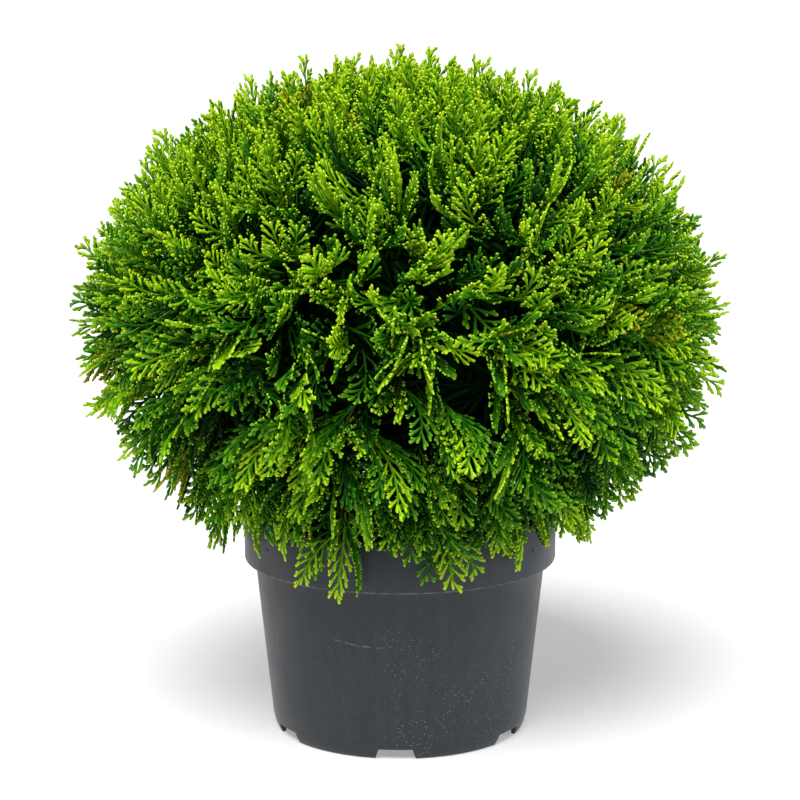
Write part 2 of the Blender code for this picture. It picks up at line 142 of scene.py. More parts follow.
bpy.ops.object.select_all(action="DESELECT")
bpy.ops.mesh.primitive_plane_add(size=FLOOR_SIZE, location=(0.0, 0.0, -FLOOR_DROP))
floor = bpy.context.object
floor.name = "floor"
floor_material = plain_material("pale_floor", (FLOOR_GREY, FLOOR_GREY, FLOOR_GREY), 0.8, 0.2)
floor_shader = floor_material.node_tree.nodes["Principled BSDF"]
floor_shader.inputs["Emission Color"].default_value = (*WHITE, 1.0)
floor_shader.inputs["Emission Strength"].default_value = FLOOR_GLOW
floor.data.materials.append(floor_material)
floor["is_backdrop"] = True
print("lamps and floor are in place")

# %% [markdown]
# The pot is a body of revolution, so it is drawn as by hand on a wheel: a disc is added at the underside,
# and its edge is extruded ring by ring along the profile, out to the foot, up the wall, round the stepped
# rim and down inside to the floor. A cylinder with loop cuts would need the same rings, and a spun curve
# would leave a seam.

# %% Turning a profile ring by ring
POT_SEGMENTS = 144
MERGE_WITHIN = 0.01 * MM


def deselect_all():
    """Leaves nothing selected, since an operator acts on all that is."""
    if bpy.context.mode != "OBJECT":
        bpy.ops.object.mode_set(mode="OBJECT")
    bpy.ops.object.select_all(action="DESELECT")


def select_only(piece):
    """Selects one piece and makes it the active one."""
    deselect_all()
    piece.select_set(True)
    bpy.context.view_layer.objects.active = piece


def turned(name, profile, segments):
    """A closed body of revolution, turned from (radius, height) points.

    The profile starts at the axis, level with its second point, and ends at the axis.
    """
    deselect_all()
    radius, z = profile[1]
    bpy.ops.mesh.primitive_circle_add(vertices=segments, radius=radius, fill_type="TRIFAN")
    body = bpy.context.object
    body.name = name
    bpy.ops.object.mode_set(mode="EDIT")
    bpy.ops.mesh.select_all(action="SELECT")
    bpy.ops.transform.translate(value=(0.0, 0.0, z))
    bpy.ops.mesh.select_all(action="DESELECT")
    bpy.ops.mesh.select_mode(type="EDGE")
    bpy.ops.mesh.select_non_manifold()
    for next_radius, next_z in profile[2:]:
        bpy.ops.mesh.extrude_edges_move()
        if next_radius == 0.0:
            bpy.ops.mesh.merge(type="CENTER")
            continue
        scale = next_radius / radius
        bpy.ops.transform.resize(value=(scale, scale, 1.0), center_override=(0.0, 0.0, z))
        bpy.ops.transform.translate(value=(0.0, 0.0, next_z - z))
        radius, z = next_radius, next_z
    bpy.ops.mesh.select_all(action="SELECT")
    bpy.ops.mesh.remove_doubles(threshold=MERGE_WITHIN)
    bpy.ops.mesh.normals_make_consistent(inside=False)
    bpy.ops.object.mode_set(mode="OBJECT")
    return body


FOOT_RADIUS = 75.4 * MM
FOOT_WIDTH = 2.0 * MM
HEEL_RADIUS = 78.1 * MM
HEEL_HEIGHT = 8.0 * MM
NECK_RADIUS = 88.4 * MM
RIM_RADIUS = 95.0 * MM
RIM_BOTTOM = 105.0 * MM
POT_HEIGHT = 136.0 * MM
WALL = 2.0 * MM
FLOOR_BOTTOM = 3.5 * MM
FLOOR_TOP = 5.5 * MM


def wall_radius(z):
    """Outer radius of the straight wall between the heel and the neck."""
    return HEEL_RADIUS + (NECK_RADIUS - HEEL_RADIUS) * (z - HEEL_HEIGHT) / (RIM_BOTTOM - HEEL_HEIGHT)


pot_profile = [(0.0, FLOOR_BOTTOM), (FOOT_RADIUS - FOOT_WIDTH - 0.3 * MM, FLOOR_BOTTOM)]
pot_profile += [(FOOT_RADIUS - FOOT_WIDTH, 0.0), (FOOT_RADIUS, 0.0)]
pot_profile += [(FOOT_RADIUS + 1.5 * MM, 3.2 * MM), (HEEL_RADIUS, HEEL_HEIGHT)]
pot_profile += [(wall_radius(z * MM), z * MM) for z in (20.0, 40.0, 60.0, 80.0, 96.0)]
pot_profile += [(NECK_RADIUS, RIM_BOTTOM - 0.4 * MM)]
pot_profile += [(RIM_RADIUS - 1.4 * MM, RIM_BOTTOM), (RIM_RADIUS - 0.5 * MM, RIM_BOTTOM + 0.4 * MM)]
pot_profile += [(RIM_RADIUS - 0.2 * MM, RIM_BOTTOM + 1.4 * MM)]
pot_profile += [(RIM_RADIUS - 0.1 * MM, RIM_BOTTOM + 15.0 * MM)]
pot_profile += [(RIM_RADIUS, POT_HEIGHT - 1.2 * MM), (RIM_RADIUS - 0.3 * MM, POT_HEIGHT - 0.4 * MM)]
pot_profile += [(RIM_RADIUS - 1.0 * MM, POT_HEIGHT), (RIM_RADIUS - WALL, POT_HEIGHT - 0.3 * MM)]
pot_profile += [(RIM_RADIUS - WALL - 0.4 * MM, RIM_BOTTOM + 2.6 * MM)]
pot_profile += [(NECK_RADIUS - WALL, RIM_BOTTOM + 1.8 * MM), (HEEL_RADIUS - WALL, HEEL_HEIGHT)]
pot_profile += [(HEEL_RADIUS - WALL - 1.0 * MM, FLOOR_TOP), (0.0, FLOOR_TOP)]

pot = turned("nursery_pot", pot_profile, POT_SEGMENTS)
print("pot turned,", len(pot.data.polygons), "faces")

# %% [markdown]
# Water leaves through six low openings in the foot, each wider at the ground. A block is added for each
# one, its upper face is drawn in, and one Boolean cuts them all. Cutting faces away by hand would leave
# ragged edges. The rim has three pairs of small upright slots, which the same Boolean cuts.

# %% Drainage openings
NOTCH_COUNT = 6
NOTCH_TURN = math.radians(-92.0)
NOTCH_HEIGHT = 6.0 * MM
NOTCH_BELOW = 2.0 * MM  # how far the cutting block reaches under the ground
NOTCH_WIDTH_LOW = 24.0 * MM
NOTCH_WIDTH_HIGH = 20.0 * MM
NOTCH_INNER = 62.0 * MM
NOTCH_OUTER = HEEL_RADIUS + 6.0 * MM


def cut_away(body, cutter):
    """Cuts cutter out of body with an applied Boolean, and removes the cutter."""
    cut = body.modifiers.new("cut", "BOOLEAN")
    cut.operation = "DIFFERENCE"
    cut.solver = "EXACT"
    cut.object = cutter
    select_only(body)
    bpy.ops.object.modifier_apply(modifier="cut")
    bpy.data.objects.remove(cutter, do_unlink=True)


def join_all(pieces, name):
    """Joins the pieces into the first one."""
    deselect_all()
    for piece in pieces:
        piece.select_set(True)
    bpy.context.view_layer.objects.active = pieces[0]
    bpy.ops.object.join()
    pieces[0].name = name
    return pieces[0]


def add_block(length, width, height, middle, turn):
    """A block with its sizes applied, turned about the vertical axis."""
    deselect_all()
    bpy.ops.mesh.primitive_cube_add(size=1.0, location=middle, rotation=(0.0, 0.0, turn))
    block = bpy.context.object
    block.scale = (length, width, height)
    bpy.ops.object.transform_apply(location=True, rotation=True, scale=True)
    return block


notch_blocks = []
for k in range(NOTCH_COUNT):
    turn = NOTCH_TURN + 2.0 * math.pi * k / NOTCH_COUNT
    reach = (NOTCH_INNER + NOTCH_OUTER) / 2
    middle = (reach * math.cos(turn), reach * math.sin(turn), (NOTCH_HEIGHT - NOTCH_BELOW) / 2)
    widen = (NOTCH_WIDTH_LOW - NOTCH_WIDTH_HIGH) * NOTCH_BELOW / NOTCH_HEIGHT
    size = (NOTCH_OUTER - NOTCH_INNER, NOTCH_WIDTH_LOW + widen, NOTCH_HEIGHT + NOTCH_BELOW)
    block = add_block(*size, middle, turn)
    across = Vector((-math.sin(turn), math.cos(turn), 0.0))
    draw_in = (NOTCH_WIDTH_LOW + widen - NOTCH_WIDTH_HIGH) / 2
    for vertex in block.data.vertices:
        if vertex.co.z > middle[2]:
            side = 1.0 if vertex.co.dot(across) > 0.0 else -1.0
            vertex.co -= across * side * draw_in
    notch_blocks.append(block)

SLOT_PAIRS = 3
SLOT_PAIR_TURN = math.radians(-150.0)
SLOT_HALF_ANGLE = math.radians(4.6)
SLOT_SIZE = (2.4 * MM, 0.9 * MM, 2.6 * MM)
SLOT_HEIGHT = 121.5 * MM
for k in range(2 * SLOT_PAIRS):
    turn = SLOT_PAIR_TURN + 2.0 * math.pi * (k // 2) / SLOT_PAIRS
    turn += SLOT_HALF_ANGLE if k % 2 else -SLOT_HALF_ANGLE
    middle = (RIM_RADIUS * math.cos(turn), RIM_RADIUS * math.sin(turn), SLOT_HEIGHT)
    notch_blocks.append(add_block(*SLOT_SIZE, middle, turn))
cut_away(pot, join_all(notch_blocks, "notch_blocks"))
print("foot and rim cut,", len(pot.data.polygons), "faces")

# %% [markdown]
# Moulded plastic has no knife edges: each corner is rounded by the mould. A bevel that only takes the sharp
# edges gives that, and it catches the thin line of light under the rim, which the plastic's colour adds to
# as a painted highlight. Smooth shading by angle keeps the flat faces flat.

# %% Rounding the moulded edges
BEVEL_ANGLE = math.radians(38.0)
BEVEL_WIDTH = 0.35 * MM
SMOOTH_ANGLE = math.radians(32.0)


def shade_by_angle(piece, angle):
    select_only(piece)
    bpy.ops.object.shade_smooth_by_angle(angle=angle)


rounding = pot.modifiers.new("rounding", "BEVEL")
rounding.limit_method = "ANGLE"
rounding.angle_limit = BEVEL_ANGLE
rounding.width = BEVEL_WIDTH
rounding.segments = 2
rounding.use_clamp_overlap = True
select_only(pot)
bpy.ops.object.modifier_apply(modifier="rounding")
shade_by_angle(pot, SMOOTH_ANGLE)
print("pot rounded,", len(pot.data.polygons), "faces")

# %% [markdown]
# Materials are built from small nodes, so a few helpers are worth their lines: one adds a node, one
# stretches a pattern, and others mix colours and calculate. Every pattern is laid out in the piece's own
# coordinates. A picture of plastic would smear on a curved wall.

# %% Helpers for node materials


def add_node(tree, kind, **values):
    """A node with the given socket values or properties."""
    node = tree.nodes.new(kind)
    for key, value in values.items():
        if key in node.inputs:
            node.inputs[key].default_value = value
        else:
            setattr(node, key, value)
    return node


def stretched(tree, scale):
    """Object coordinates drawn out by scale."""
    place = add_node(tree, "ShaderNodeTexCoord")
    mapping = add_node(tree, "ShaderNodeMapping", Scale=scale)
    tree.links.new(place.outputs["Object"], mapping.inputs["Vector"])
    return mapping.outputs["Vector"]


def colour_ramp(tree, factor, stops):
    """A ramp through (position, grey or colour) stops."""
    ramp = add_node(tree, "ShaderNodeValToRGB")
    tree.links.new(factor, ramp.inputs["Fac"])
    points = ramp.color_ramp.elements
    while len(points) < len(stops):
        points.new(0.5)
    for point, (position, colour) in zip(points, stops):
        point.position = position
        point.color = (*colour, 1.0) if isinstance(colour, tuple) else (colour, colour, colour, 1.0)
    return ramp.outputs["Color"]


def mixed(tree, factor, first, second, blend="MIX"):
    """Two colours mixed. Each is a socket or a plain colour."""
    mix = add_node(tree, "ShaderNodeMix", data_type="RGBA", blend_type=blend)
    for socket, value in ((mix.inputs["Factor"], factor), (mix.inputs[6], first), (mix.inputs[7], second)):
        if isinstance(value, bpy.types.NodeSocket):
            tree.links.new(value, socket)
        elif isinstance(value, tuple):
            socket.default_value = (*value, 1.0)
        else:
            socket.default_value = value
    return mix.outputs[2]


def add_bump(tree, height, strength, distance, base=None):
    bump = add_node(tree, "ShaderNodeBump", Strength=strength, Distance=distance)
    tree.links.new(height, bump.inputs["Height"])
    if base is not None:
        tree.links.new(base, bump.inputs["Normal"])
    return bump.outputs["Normal"]


def calculated(tree, operation, first, second=0.0, clamp=False):
    """A Math node. Each value is a socket or a number."""
    node = add_node(tree, "ShaderNodeMath", operation=operation, use_clamp=clamp)
    for socket, value in zip(node.inputs, (first, second)):
        if isinstance(value, bpy.types.NodeSocket):
            tree.links.new(value, socket)
        else:
            socket.default_value = value
    return node.outputs[0]


def band(tree, value, middle, half, soft):
    """1 where value is within half of middle, and falling to 0 over soft."""
    away = calculated(tree, "ABSOLUTE", calculated(tree, "SUBTRACT", value, middle))
    return calculated(tree, "SUBTRACT", 1.0 + half / soft, calculated(tree, "DIVIDE", away, soft), clamp=True)


print("node helpers are ready")

# %% [markdown]
# The plastic is dark grey and slightly blue, matt, with faint upright flow streaks from the mould and a
# fine mottling. Its top lip is rubbed pale, and the pale line along the rim's lower edge is partly wear and
# partly a painted highlight. One long scratch crosses the front, and fine pale specks lie on the lower wall,
# more of them towards the right. Noise stretched along the height makes the streaks, bands over the height
# make the rubbed lip and the painted highlight, and a fine cell pattern with a hard threshold makes the
# specks.

# %% Plastic of the pot
PLASTIC = (0.0074, 0.0097, 0.0123)
PLASTIC_PALE = (0.0165, 0.0211, 0.0283)
# pale colour of the wear and the scratch, and of the painted highlight under the rim
SCUFF_AND_HIGHLIGHT = (0.11, 0.115, 0.12)
DUST = (0.62, 0.62, 0.60)
SCRATCH_LOW = (-12.0 * MM, 70.2 * MM)  # lowest point of the long scratch, across and up
SCRATCH_CURVE = 4.0  # its height grows by this times the square of the distance across
SCRATCH_MIDDLE = -25.0 * MM
SCRATCH_HALF = 12.0 * MM
SCRATCH_FADE = 4.0 * MM
DUST_TOP, DUST_FADE_UP = 105.0 * MM, 50.0 * MM  # specks start below this height, and are full this much lower
DUST_LEFT, DUST_FADE_ACROSS = 60.0 * MM, 55.0 * MM  # and they start this far left of the middle

pot_material = bpy.data.materials.new("pot_plastic")
pot_material.use_nodes = True
tree = pot_material.node_tree
shader = tree.nodes["Principled BSDF"]
plain_place = stretched(tree, (1.0, 1.0, 1.0))
split = add_node(tree, "ShaderNodeSeparateXYZ")
tree.links.new(plain_place, split.inputs["Vector"])
across_pot, towards_back, up_pot = split.outputs
streaks = add_node(tree, "ShaderNodeTexNoise", Scale=1.0, Detail=5.0, Roughness=0.6)
tree.links.new(stretched(tree, (150.0, 150.0, 9.0)), streaks.inputs["Vector"])
clouds = add_node(tree, "ShaderNodeTexNoise", Scale=24.0, Detail=5.0, Roughness=0.6)
rubbing = add_node(tree, "ShaderNodeTexNoise", Scale=260.0, Detail=3.0, Roughness=0.7)
specks = add_node(tree, "ShaderNodeTexVoronoi", Scale=620.0, feature="F1")
for pattern in (clouds, rubbing, specks):
    tree.links.new(plain_place, pattern.inputs["Vector"])

streak_share = colour_ramp(tree, streaks.outputs["Fac"], [(0.35, 0.0), (0.75, 0.8)])
cloud_share = colour_ramp(tree, clouds.outputs["Fac"], [(0.35, 0.0), (0.70, 0.6)])
plastic = mixed(tree, streak_share, mixed(tree, cloud_share, PLASTIC, PLASTIC_PALE), PLASTIC_PALE)
mottled = colour_ramp(tree, rubbing.outputs["Fac"], [(0.44, 0.0), (0.66, 0.55)])
plastic = mixed(tree, mottled, plastic, PLASTIC_PALE)

rubbed = colour_ramp(tree, rubbing.outputs["Fac"], [(0.42, 0.0), (0.62, 1.0)])
# a pale band under the rim, partly wear and partly a painted highlight where light catches its lower edge
rim_highlight_line = band(tree, up_pot, RIM_BOTTOM + 0.5 * MM, 0.3 * MM, 0.5 * MM)
lip_line = band(tree, up_pot, POT_HEIGHT, 0.4 * MM, 0.6 * MM)
edge_wear_and_highlight = calculated(tree, "MULTIPLY", calculated(tree, "MAXIMUM", rim_highlight_line, lip_line), 0.75)
from_low = calculated(tree, "SUBTRACT", across_pot, SCRATCH_LOW[0])
rise = calculated(tree, "MULTIPLY", calculated(tree, "MULTIPLY", from_low, from_low), SCRATCH_CURVE)
scratch = band(tree, calculated(tree, "SUBTRACT", up_pot, rise), SCRATCH_LOW[1], 0.15 * MM, 0.45 * MM)
scratch_end = band(tree, across_pot, SCRATCH_MIDDLE, SCRATCH_HALF, SCRATCH_FADE)
scratch = calculated(tree, "MULTIPLY", scratch, scratch_end)
scratch = calculated(tree, "MULTIPLY", scratch, calculated(tree, "LESS_THAN", towards_back, 0.0))
# the real wear and scratch, and the painted highlight under the rim, in one pale mask
worn_and_highlit = calculated(tree, "MULTIPLY", calculated(tree, "MAXIMUM", edge_wear_and_highlight, scratch), rubbed)
plastic = mixed(tree, worn_and_highlit, plastic, SCUFF_AND_HIGHLIGHT)

speck_share = colour_ramp(tree, specks.outputs["Distance"], [(0.07, 1.0), (0.13, 0.0)])
dusty = colour_ramp(tree, clouds.outputs["Fac"], [(0.43, 0.0), (0.60, 1.0)])
below_top = calculated(tree, "SUBTRACT", DUST_TOP, up_pot)
low_down = calculated(tree, "DIVIDE", below_top, DUST_FADE_UP, clamp=True)
past_left = calculated(tree, "ADD", across_pot, DUST_LEFT)
to_right = calculated(tree, "DIVIDE", past_left, DUST_FADE_ACROSS, clamp=True)
speck_mask = calculated(tree, "MULTIPLY", calculated(tree, "MULTIPLY", speck_share, dusty), low_down)
speck_mask = calculated(tree, "MULTIPLY", speck_mask, to_right)
tree.links.new(mixed(tree, speck_mask, plastic, DUST), shader.inputs["Base Color"])
roughness = colour_ramp(tree, clouds.outputs["Fac"], [(0.3, 0.42), (0.75, 0.60)])
tree.links.new(roughness, shader.inputs["Roughness"])
grain = add_node(tree, "ShaderNodeTexNoise", Scale=900.0, Detail=2.0)
tree.links.new(plain_place, grain.inputs["Vector"])
streak_bump = add_bump(tree, streaks.outputs["Fac"], 0.25, 0.0006)
tree.links.new(add_bump(tree, grain.outputs["Fac"], 0.12, 0.0002, streak_bump), shader.inputs["Normal"])
shader.inputs["Specular IOR Level"].default_value = 0.38
shader.inputs["Sheen Weight"].default_value = 0.16
shader.inputs["Sheen Roughness"].default_value = 0.35
pot.data.materials.clear()
pot.data.materials.append(pot_material)
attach(pot, "root")
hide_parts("pot")
print("pot finished")

# %% [markdown]
# Potting mix fills the pot to a finger's width under the rim. Its top is a loose crumb of bark and peat.
# The body is turned as the pot was, with close rings on top that a clouds texture lifts and lowers, and
# small chips lie on it. Bump alone would look like painted cardboard where the light falls on it from the
# side.

# %% Potting mix
GAP = 0.3 * MM
SOIL_TOP = 122.0 * MM
SOIL_CROWN = 1.5 * MM
SOIL_SEGMENTS = 96
SOIL_RINGS = 26
SOIL_RELIEF = 3.0 * MM
SOIL_EDGE = RIM_RADIUS - WALL - 0.4 * MM - GAP
CHIP_COUNT = 90
CHIP_SPREAD = 88.0 * MM

soil_profile = [(0.0, FLOOR_TOP + GAP), (HEEL_RADIUS - WALL - 1.4 * MM, FLOOR_TOP + GAP)]
soil_profile += [(NECK_RADIUS - WALL - GAP, RIM_BOTTOM + 1.8 * MM)]
soil_profile += [(NECK_RADIUS - WALL, RIM_BOTTOM + 2.3 * MM), (SOIL_EDGE - GAP, RIM_BOTTOM + 3.4 * MM)]
soil_profile += [(SOIL_EDGE, SOIL_TOP - 2.0 * MM)]
for ring in range(SOIL_RINGS):
    share = ring / SOIL_RINGS
    soil_profile.append(((SOIL_EDGE - 1.2 * MM) * (1.0 - share), SOIL_TOP - (1.0 - share) * 1.2 * MM))
soil_profile.append((0.0, SOIL_TOP))
soil = turned("potting_mix", soil_profile, SOIL_SEGMENTS)

crumb = bpy.data.textures.new("crumb", "CLOUDS")
crumb.noise_scale = 0.007
crumb.noise_depth = 3
top_group = soil.vertex_groups.new(name="top")
top_group.add([v.index for v in soil.data.vertices if v.co.z > SOIL_TOP - 1.6 * MM], 1.0, "REPLACE")
lift = soil.modifiers.new("lift", "DISPLACE")
lift.texture = crumb
lift.texture_coords = "LOCAL"
lift.vertex_group = "top"
lift.direction = "Z"
lift.mid_level = 0.5
lift.strength = SOIL_RELIEF
select_only(soil)
bpy.ops.object.modifier_apply(modifier="lift")

chip_dice = random.Random(3)
chips = []
for _ in range(CHIP_COUNT):
    angle = chip_dice.uniform(0.0, 2.0 * math.pi)
    radius = CHIP_SPREAD * math.sqrt(chip_dice.uniform(0.05, 1.0))
    size = chip_dice.uniform(2.5, 7.0) * MM
    place = (radius * math.cos(angle), radius * math.sin(angle), SOIL_TOP + chip_dice.uniform(0.2, 1.4) * MM)
    deselect_all()
    bpy.ops.mesh.primitive_cube_add(size=1.0, location=place)
    chip = bpy.context.object
    chip.scale = (size, size * chip_dice.uniform(0.35, 0.7), size * chip_dice.uniform(0.15, 0.35))
    tilt = [chip_dice.uniform(-0.4, 0.4) for _ in range(2)]
    chip.rotation_euler = (*tilt, chip_dice.uniform(0.0, 3.1))
    bpy.ops.object.transform_apply(location=True, rotation=True, scale=True)
    for vertex in chip.data.vertices:
        vertex.co += Vector([chip_dice.uniform(-0.1, 0.1) * size for _ in range(3)])
    chips.append(chip)
soil = join_all([soil] + chips, "potting_mix")
shade_by_angle(soil, SMOOTH_ANGLE)
print("potting mix turned,", CHIP_COUNT, "chips on it,", len(soil.data.polygons), "faces")

# %% [markdown]
# Moist peat is nearly black and its fibres are brown. One noise gives both the colour and a fine relief, so
# that pale fibres also stand a little proud.

# %% Colour of the potting mix
PEAT = (0.012, 0.008, 0.005)
BARK_CRUMB = (0.060, 0.036, 0.022)
FIBRE = (0.13, 0.085, 0.050)

soil_material = bpy.data.materials.new("potting_compost")
soil_material.use_nodes = True
tree = soil_material.node_tree
shader = tree.nodes["Principled BSDF"]
fibres = add_node(tree, "ShaderNodeTexNoise", Scale=260.0, Detail=6.0, Roughness=0.65)
tree.links.new(stretched(tree, (1.0, 1.0, 1.0)), fibres.inputs["Vector"])
soil_colour = colour_ramp(tree, fibres.outputs["Fac"], [(0.30, PEAT), (0.62, BARK_CRUMB), (0.80, FIBRE)])
tree.links.new(soil_colour, shader.inputs["Base Color"])
tree.links.new(add_bump(tree, fibres.outputs["Fac"], 0.6, 0.0012), shader.inputs["Normal"])
shader.inputs["Roughness"].default_value = 0.95
soil.data.materials.clear()
soil.data.materials.append(soil_material)
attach(soil, "root")
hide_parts("potting_soil")
print("potting mix finished")

# %% [markdown]
# The plant grows by one rule, the one that shaped the solids. A crown is a flattened ball: its reach from a
# middle point depends only on the direction. Rings of masses stand round the trunk, each with its bough and
# its stem. Every spray has a root, an elbow and a tip, the tips lie evenly on the crown, and the same seed
# draws the same numbers. The rule is written out again here, because the finer twigs have to start where
# the coarse ones did.

# %% The rule of the crown
UP = Vector((0.0, 0.0, 1.0))
CENTRE = Vector((0.0, 0.0, 0.262))
CROWN_RADIUS = 0.196
CROWN_RISE = 0.151
CROWN_FALL = 0.165
CROWN_FULLNESS = 2.2  # exponent of the lower half's outline: 2 is an ellipse, and more is fuller
HOLLOW_SHARE = 0.42  # boughs end at about this share of the reach
SITE_SHARE = 0.62  # and the middle of a mass is at this one
ENTRY_DEPTH = 6.0 * MM
RINGS = (  # (masses, elevation, azimuth of the first, lowest height at which its boughs leave the trunk)
    (6, math.radians(-30.0), math.radians(-90.0), 0.150),
    (7, math.radians(8.0), math.radians(-72.0), 0.196),
    (5, math.radians(48.0), math.radians(-90.0), 0.246),
)
FOOT_STEP = 4.0 * MM
SPRAY_COUNT = 240
SPRAY_LOWEST = math.radians(-48.0)
SPRAY_DEPTH = 0.40
SPRAY_LEAN = 0.15
SPRAY_ELBOW = 0.7
UPRIGHT_ABOVE = math.radians(43.0)
HANGING_BELOW = math.radians(-27.0)
TIP_SHARES = (0.945, 0.995)
SKIRT_COUNT = 34
SKIRT_TIP = (116.0 * MM, 106.0 * MM)
SKIRT_ELBOW = (121.0 * MM, 158.0 * MM)
SKIRT_ROOT = (72.0 * MM, 190.0 * MM)
SKIRT_LONG = (-3.0 * MM, 6.0 * MM)
SKIRT_SHORT = (12.0 * MM, 30.0 * MM)
SEED = 7
GOLDEN_ANGLE = math.pi * (3.0 - math.sqrt(5.0))


def direction(azimuth, elevation):
    flat = math.cos(elevation)
    return Vector((flat * math.cos(azimuth), flat * math.sin(azimuth), math.sin(elevation)))


def crown_reach(way):
    """Distance from the middle to the crown's outline in the unit direction way, fuller below."""
    flat = math.hypot(way.x, way.y) / CROWN_RADIUS
    if way.z > 0:
        return 1.0 / math.hypot(flat, way.z / CROWN_RISE)
    return (flat**CROWN_FULLNESS + (-way.z / CROWN_FALL) ** CROWN_FULLNESS) ** (-1.0 / CROWN_FULLNESS)


def upward_lean(elevation):
    """1 where sprays lean straight up, -1 where they hang down, and between the two in between."""
    share = (elevation - HANGING_BELOW) / (UPRIGHT_ABOVE - HANGING_BELOW)
    return 2.0 * max(0.0, min(1.0, share)) - 1.0


def reach_paths():
    """Straight sprays at the top and on four sides, which reach furthest."""
    paths = []
    for way in [UP] + [direction(quarter * math.pi / 2, 0.0) for quarter in range(4)]:
        tip = CENTRE + way * crown_reach(way)
        root = tip - way * SPRAY_DEPTH * crown_reach(way)
        paths.append((root, root.lerp(tip, 0.5), tip))
    return paths


def crown_paths(dice):
    """Root, elbow and tip of every spray: even golden-angle tips, rooted below and leaning over."""
    lowest = math.sin(SPRAY_LOWEST)
    paths = []
    for i in range(SPRAY_COUNT):
        elevation = math.asin(lowest + (1.0 - lowest) * (i + 0.5) / SPRAY_COUNT)
        azimuth = i * GOLDEN_ANGLE + dice.uniform(-0.05, 0.05)
        way = direction(azimuth, elevation)
        reach = crown_reach(way)
        tip = CENTRE + way * reach * dice.uniform(*TIP_SHARES)
        side = Vector((-math.sin(azimuth), math.cos(azimuth), 0.0))
        lean = way.cross(side) * upward_lean(elevation) + side * dice.uniform(-1.0, 1.0)
        root = tip - (way * SPRAY_DEPTH + lean * SPRAY_LEAN) * reach
        paths.append((root, root + way * SPRAY_DEPTH * SPRAY_ELBOW * reach, tip))
    return paths


def skirt_paths(dice):
    """Sprays that arch out over the rim and hang beside it."""
    paths = []
    for i in range(SKIRT_COUNT):
        azimuth = 2.0 * math.pi * (i + dice.uniform(-0.25, 0.25)) / SKIRT_COUNT
        outward = direction(azimuth, 0.0)
        rise = dice.uniform(*(SKIRT_LONG if i % 5 == 4 or i % 9 == 0 else SKIRT_SHORT))
        path = []
        for (radius, height), share in ((SKIRT_ROOT, 0.0), (SKIRT_ELBOW, 0.4), (SKIRT_TIP, 1.0)):
            path.append(outward * radius + UP * (height + rise * share))
        paths.append(tuple(path))
    return paths


crown_dice = random.Random(SEED)
spray_paths = reach_paths() + crown_paths(crown_dice) + skirt_paths(crown_dice)
ways, feet = [UP.copy()], [None]
for count, elevation, first, foot in RINGS:
    for k in range(count):
        ways.append(direction(first + 2.0 * math.pi * k / count, elevation))
        feet.append(foot + FOOT_STEP * (k * 3 % count))
sites = [CENTRE + way * crown_reach(way) * SITE_SHARE for way in ways]
print(len(spray_paths), "branchlets on", len(sites), "masses")

# %% [markdown]
# Thuja bark is grey brown and peels in long thin strips, so its relief runs along the limb. The trunk is
# turned from one circle as the pot was, with many close rings. Then each point is pushed in or out by a
# noise that changes fast round the limb and slowly along it, and the whole trunk leans.

# %% Trunk
TRUNK_FOOT = SOIL_TOP + SOIL_CROWN + GAP
TRUNK_TOP = CENTRE.z + HOLLOW_SHARE * CROWN_RISE - ENTRY_DEPTH
TRUNK_BASE_RADIUS = 8.5 * MM
TRUNK_TIP_RADIUS = 3.4 * MM
TRUNK_FLARE = 5.0 * MM
TRUNK_FLARE_HEIGHT = 16.0 * MM
TRUNK_LEAN = Vector((7.0 * MM, 4.0 * MM, 0.0))
TRUNK_SIDES = 36
TRUNK_RINGS = 70
STRIP_DEPTH = 0.09  # relief of the bark as a share of the limb's radius


def trunk_share(z):
    return (z - TRUNK_FOOT) / (TRUNK_TOP - TRUNK_FOOT)


def trunk_middle(z):
    return UP * z + TRUNK_LEAN * trunk_share(z) ** 2


def trunk_radius(z):
    flare = TRUNK_FLARE * max(0.0, 1.0 - (z - TRUNK_FOOT) / TRUNK_FLARE_HEIGHT) ** 2
    return TRUNK_BASE_RADIUS + (TRUNK_TIP_RADIUS - TRUNK_BASE_RADIUS) * trunk_share(z) + flare


def strip_relief(angle, along):
    """Bark strips: quick round the limb, slow along it, mostly between -1 and 1."""
    around = Vector((math.cos(angle) * 3.2, math.sin(angle) * 3.2, along * 45.0))
    return noise.noise(around) + 0.5 * noise.noise(around * 2.1 + Vector((7.0, 3.0, 1.0)))


trunk_heights = [TRUNK_FOOT + (TRUNK_TOP - TRUNK_FOOT) * i / TRUNK_RINGS for i in range(TRUNK_RINGS + 1)]
trunk_profile = [(0.0, TRUNK_FOOT)] + [(trunk_radius(z), z) for z in trunk_heights] + [(0.0, TRUNK_TOP)]
trunk = turned("trunk_bark", trunk_profile, TRUNK_SIDES)
for vertex in trunk.data.vertices:
    radius = math.hypot(vertex.co.x, vertex.co.y)
    if radius > 1.0 * MM:
        angle = math.atan2(vertex.co.y, vertex.co.x)
        swell = 1.0 + STRIP_DEPTH * strip_relief(angle, vertex.co.z)
        vertex.co.x, vertex.co.y = vertex.co.x * swell, vertex.co.y * swell
    z = min(max(vertex.co.z, TRUNK_FOOT), TRUNK_TOP)
    vertex.co += trunk_middle(z) - UP * z
trunk.data.shade_smooth()
print("trunk from", round(TRUNK_FOOT, 4), "to", round(TRUNK_TOP, 4), "m,", len(trunk.data.polygons), "faces")

# %% [markdown]
# Boughs, stems and twigs are hundreds of thin tapering tubes on curved paths, too many to draw one by one.
# Arrays of numbers lay them out: a ring of points round every place of the path, triangles between the
# rings, and a flat fan at each end. The tubes of one kind are heaped up first and become one mesh, which is
# quick to make.

# %% Tubes laid out by arrays
NO_LIMB_WAY = np.array((0.31, 0.95, 0.05))  # a direction that no limb follows, to lay the rings across


def on_curve(path, t):
    """The place at share t of the curve from root over elbow to tip."""
    root, elbow, tip = path
    return (1 - t) ** 2 * root + 2 * t * (1 - t) * elbow + t * t * tip


def tapered(wide, narrow, count):
    """As many radii as count, going evenly from wide to narrow."""
    return [wide + (narrow - wide) * i / (count - 1) for i in range(count)]


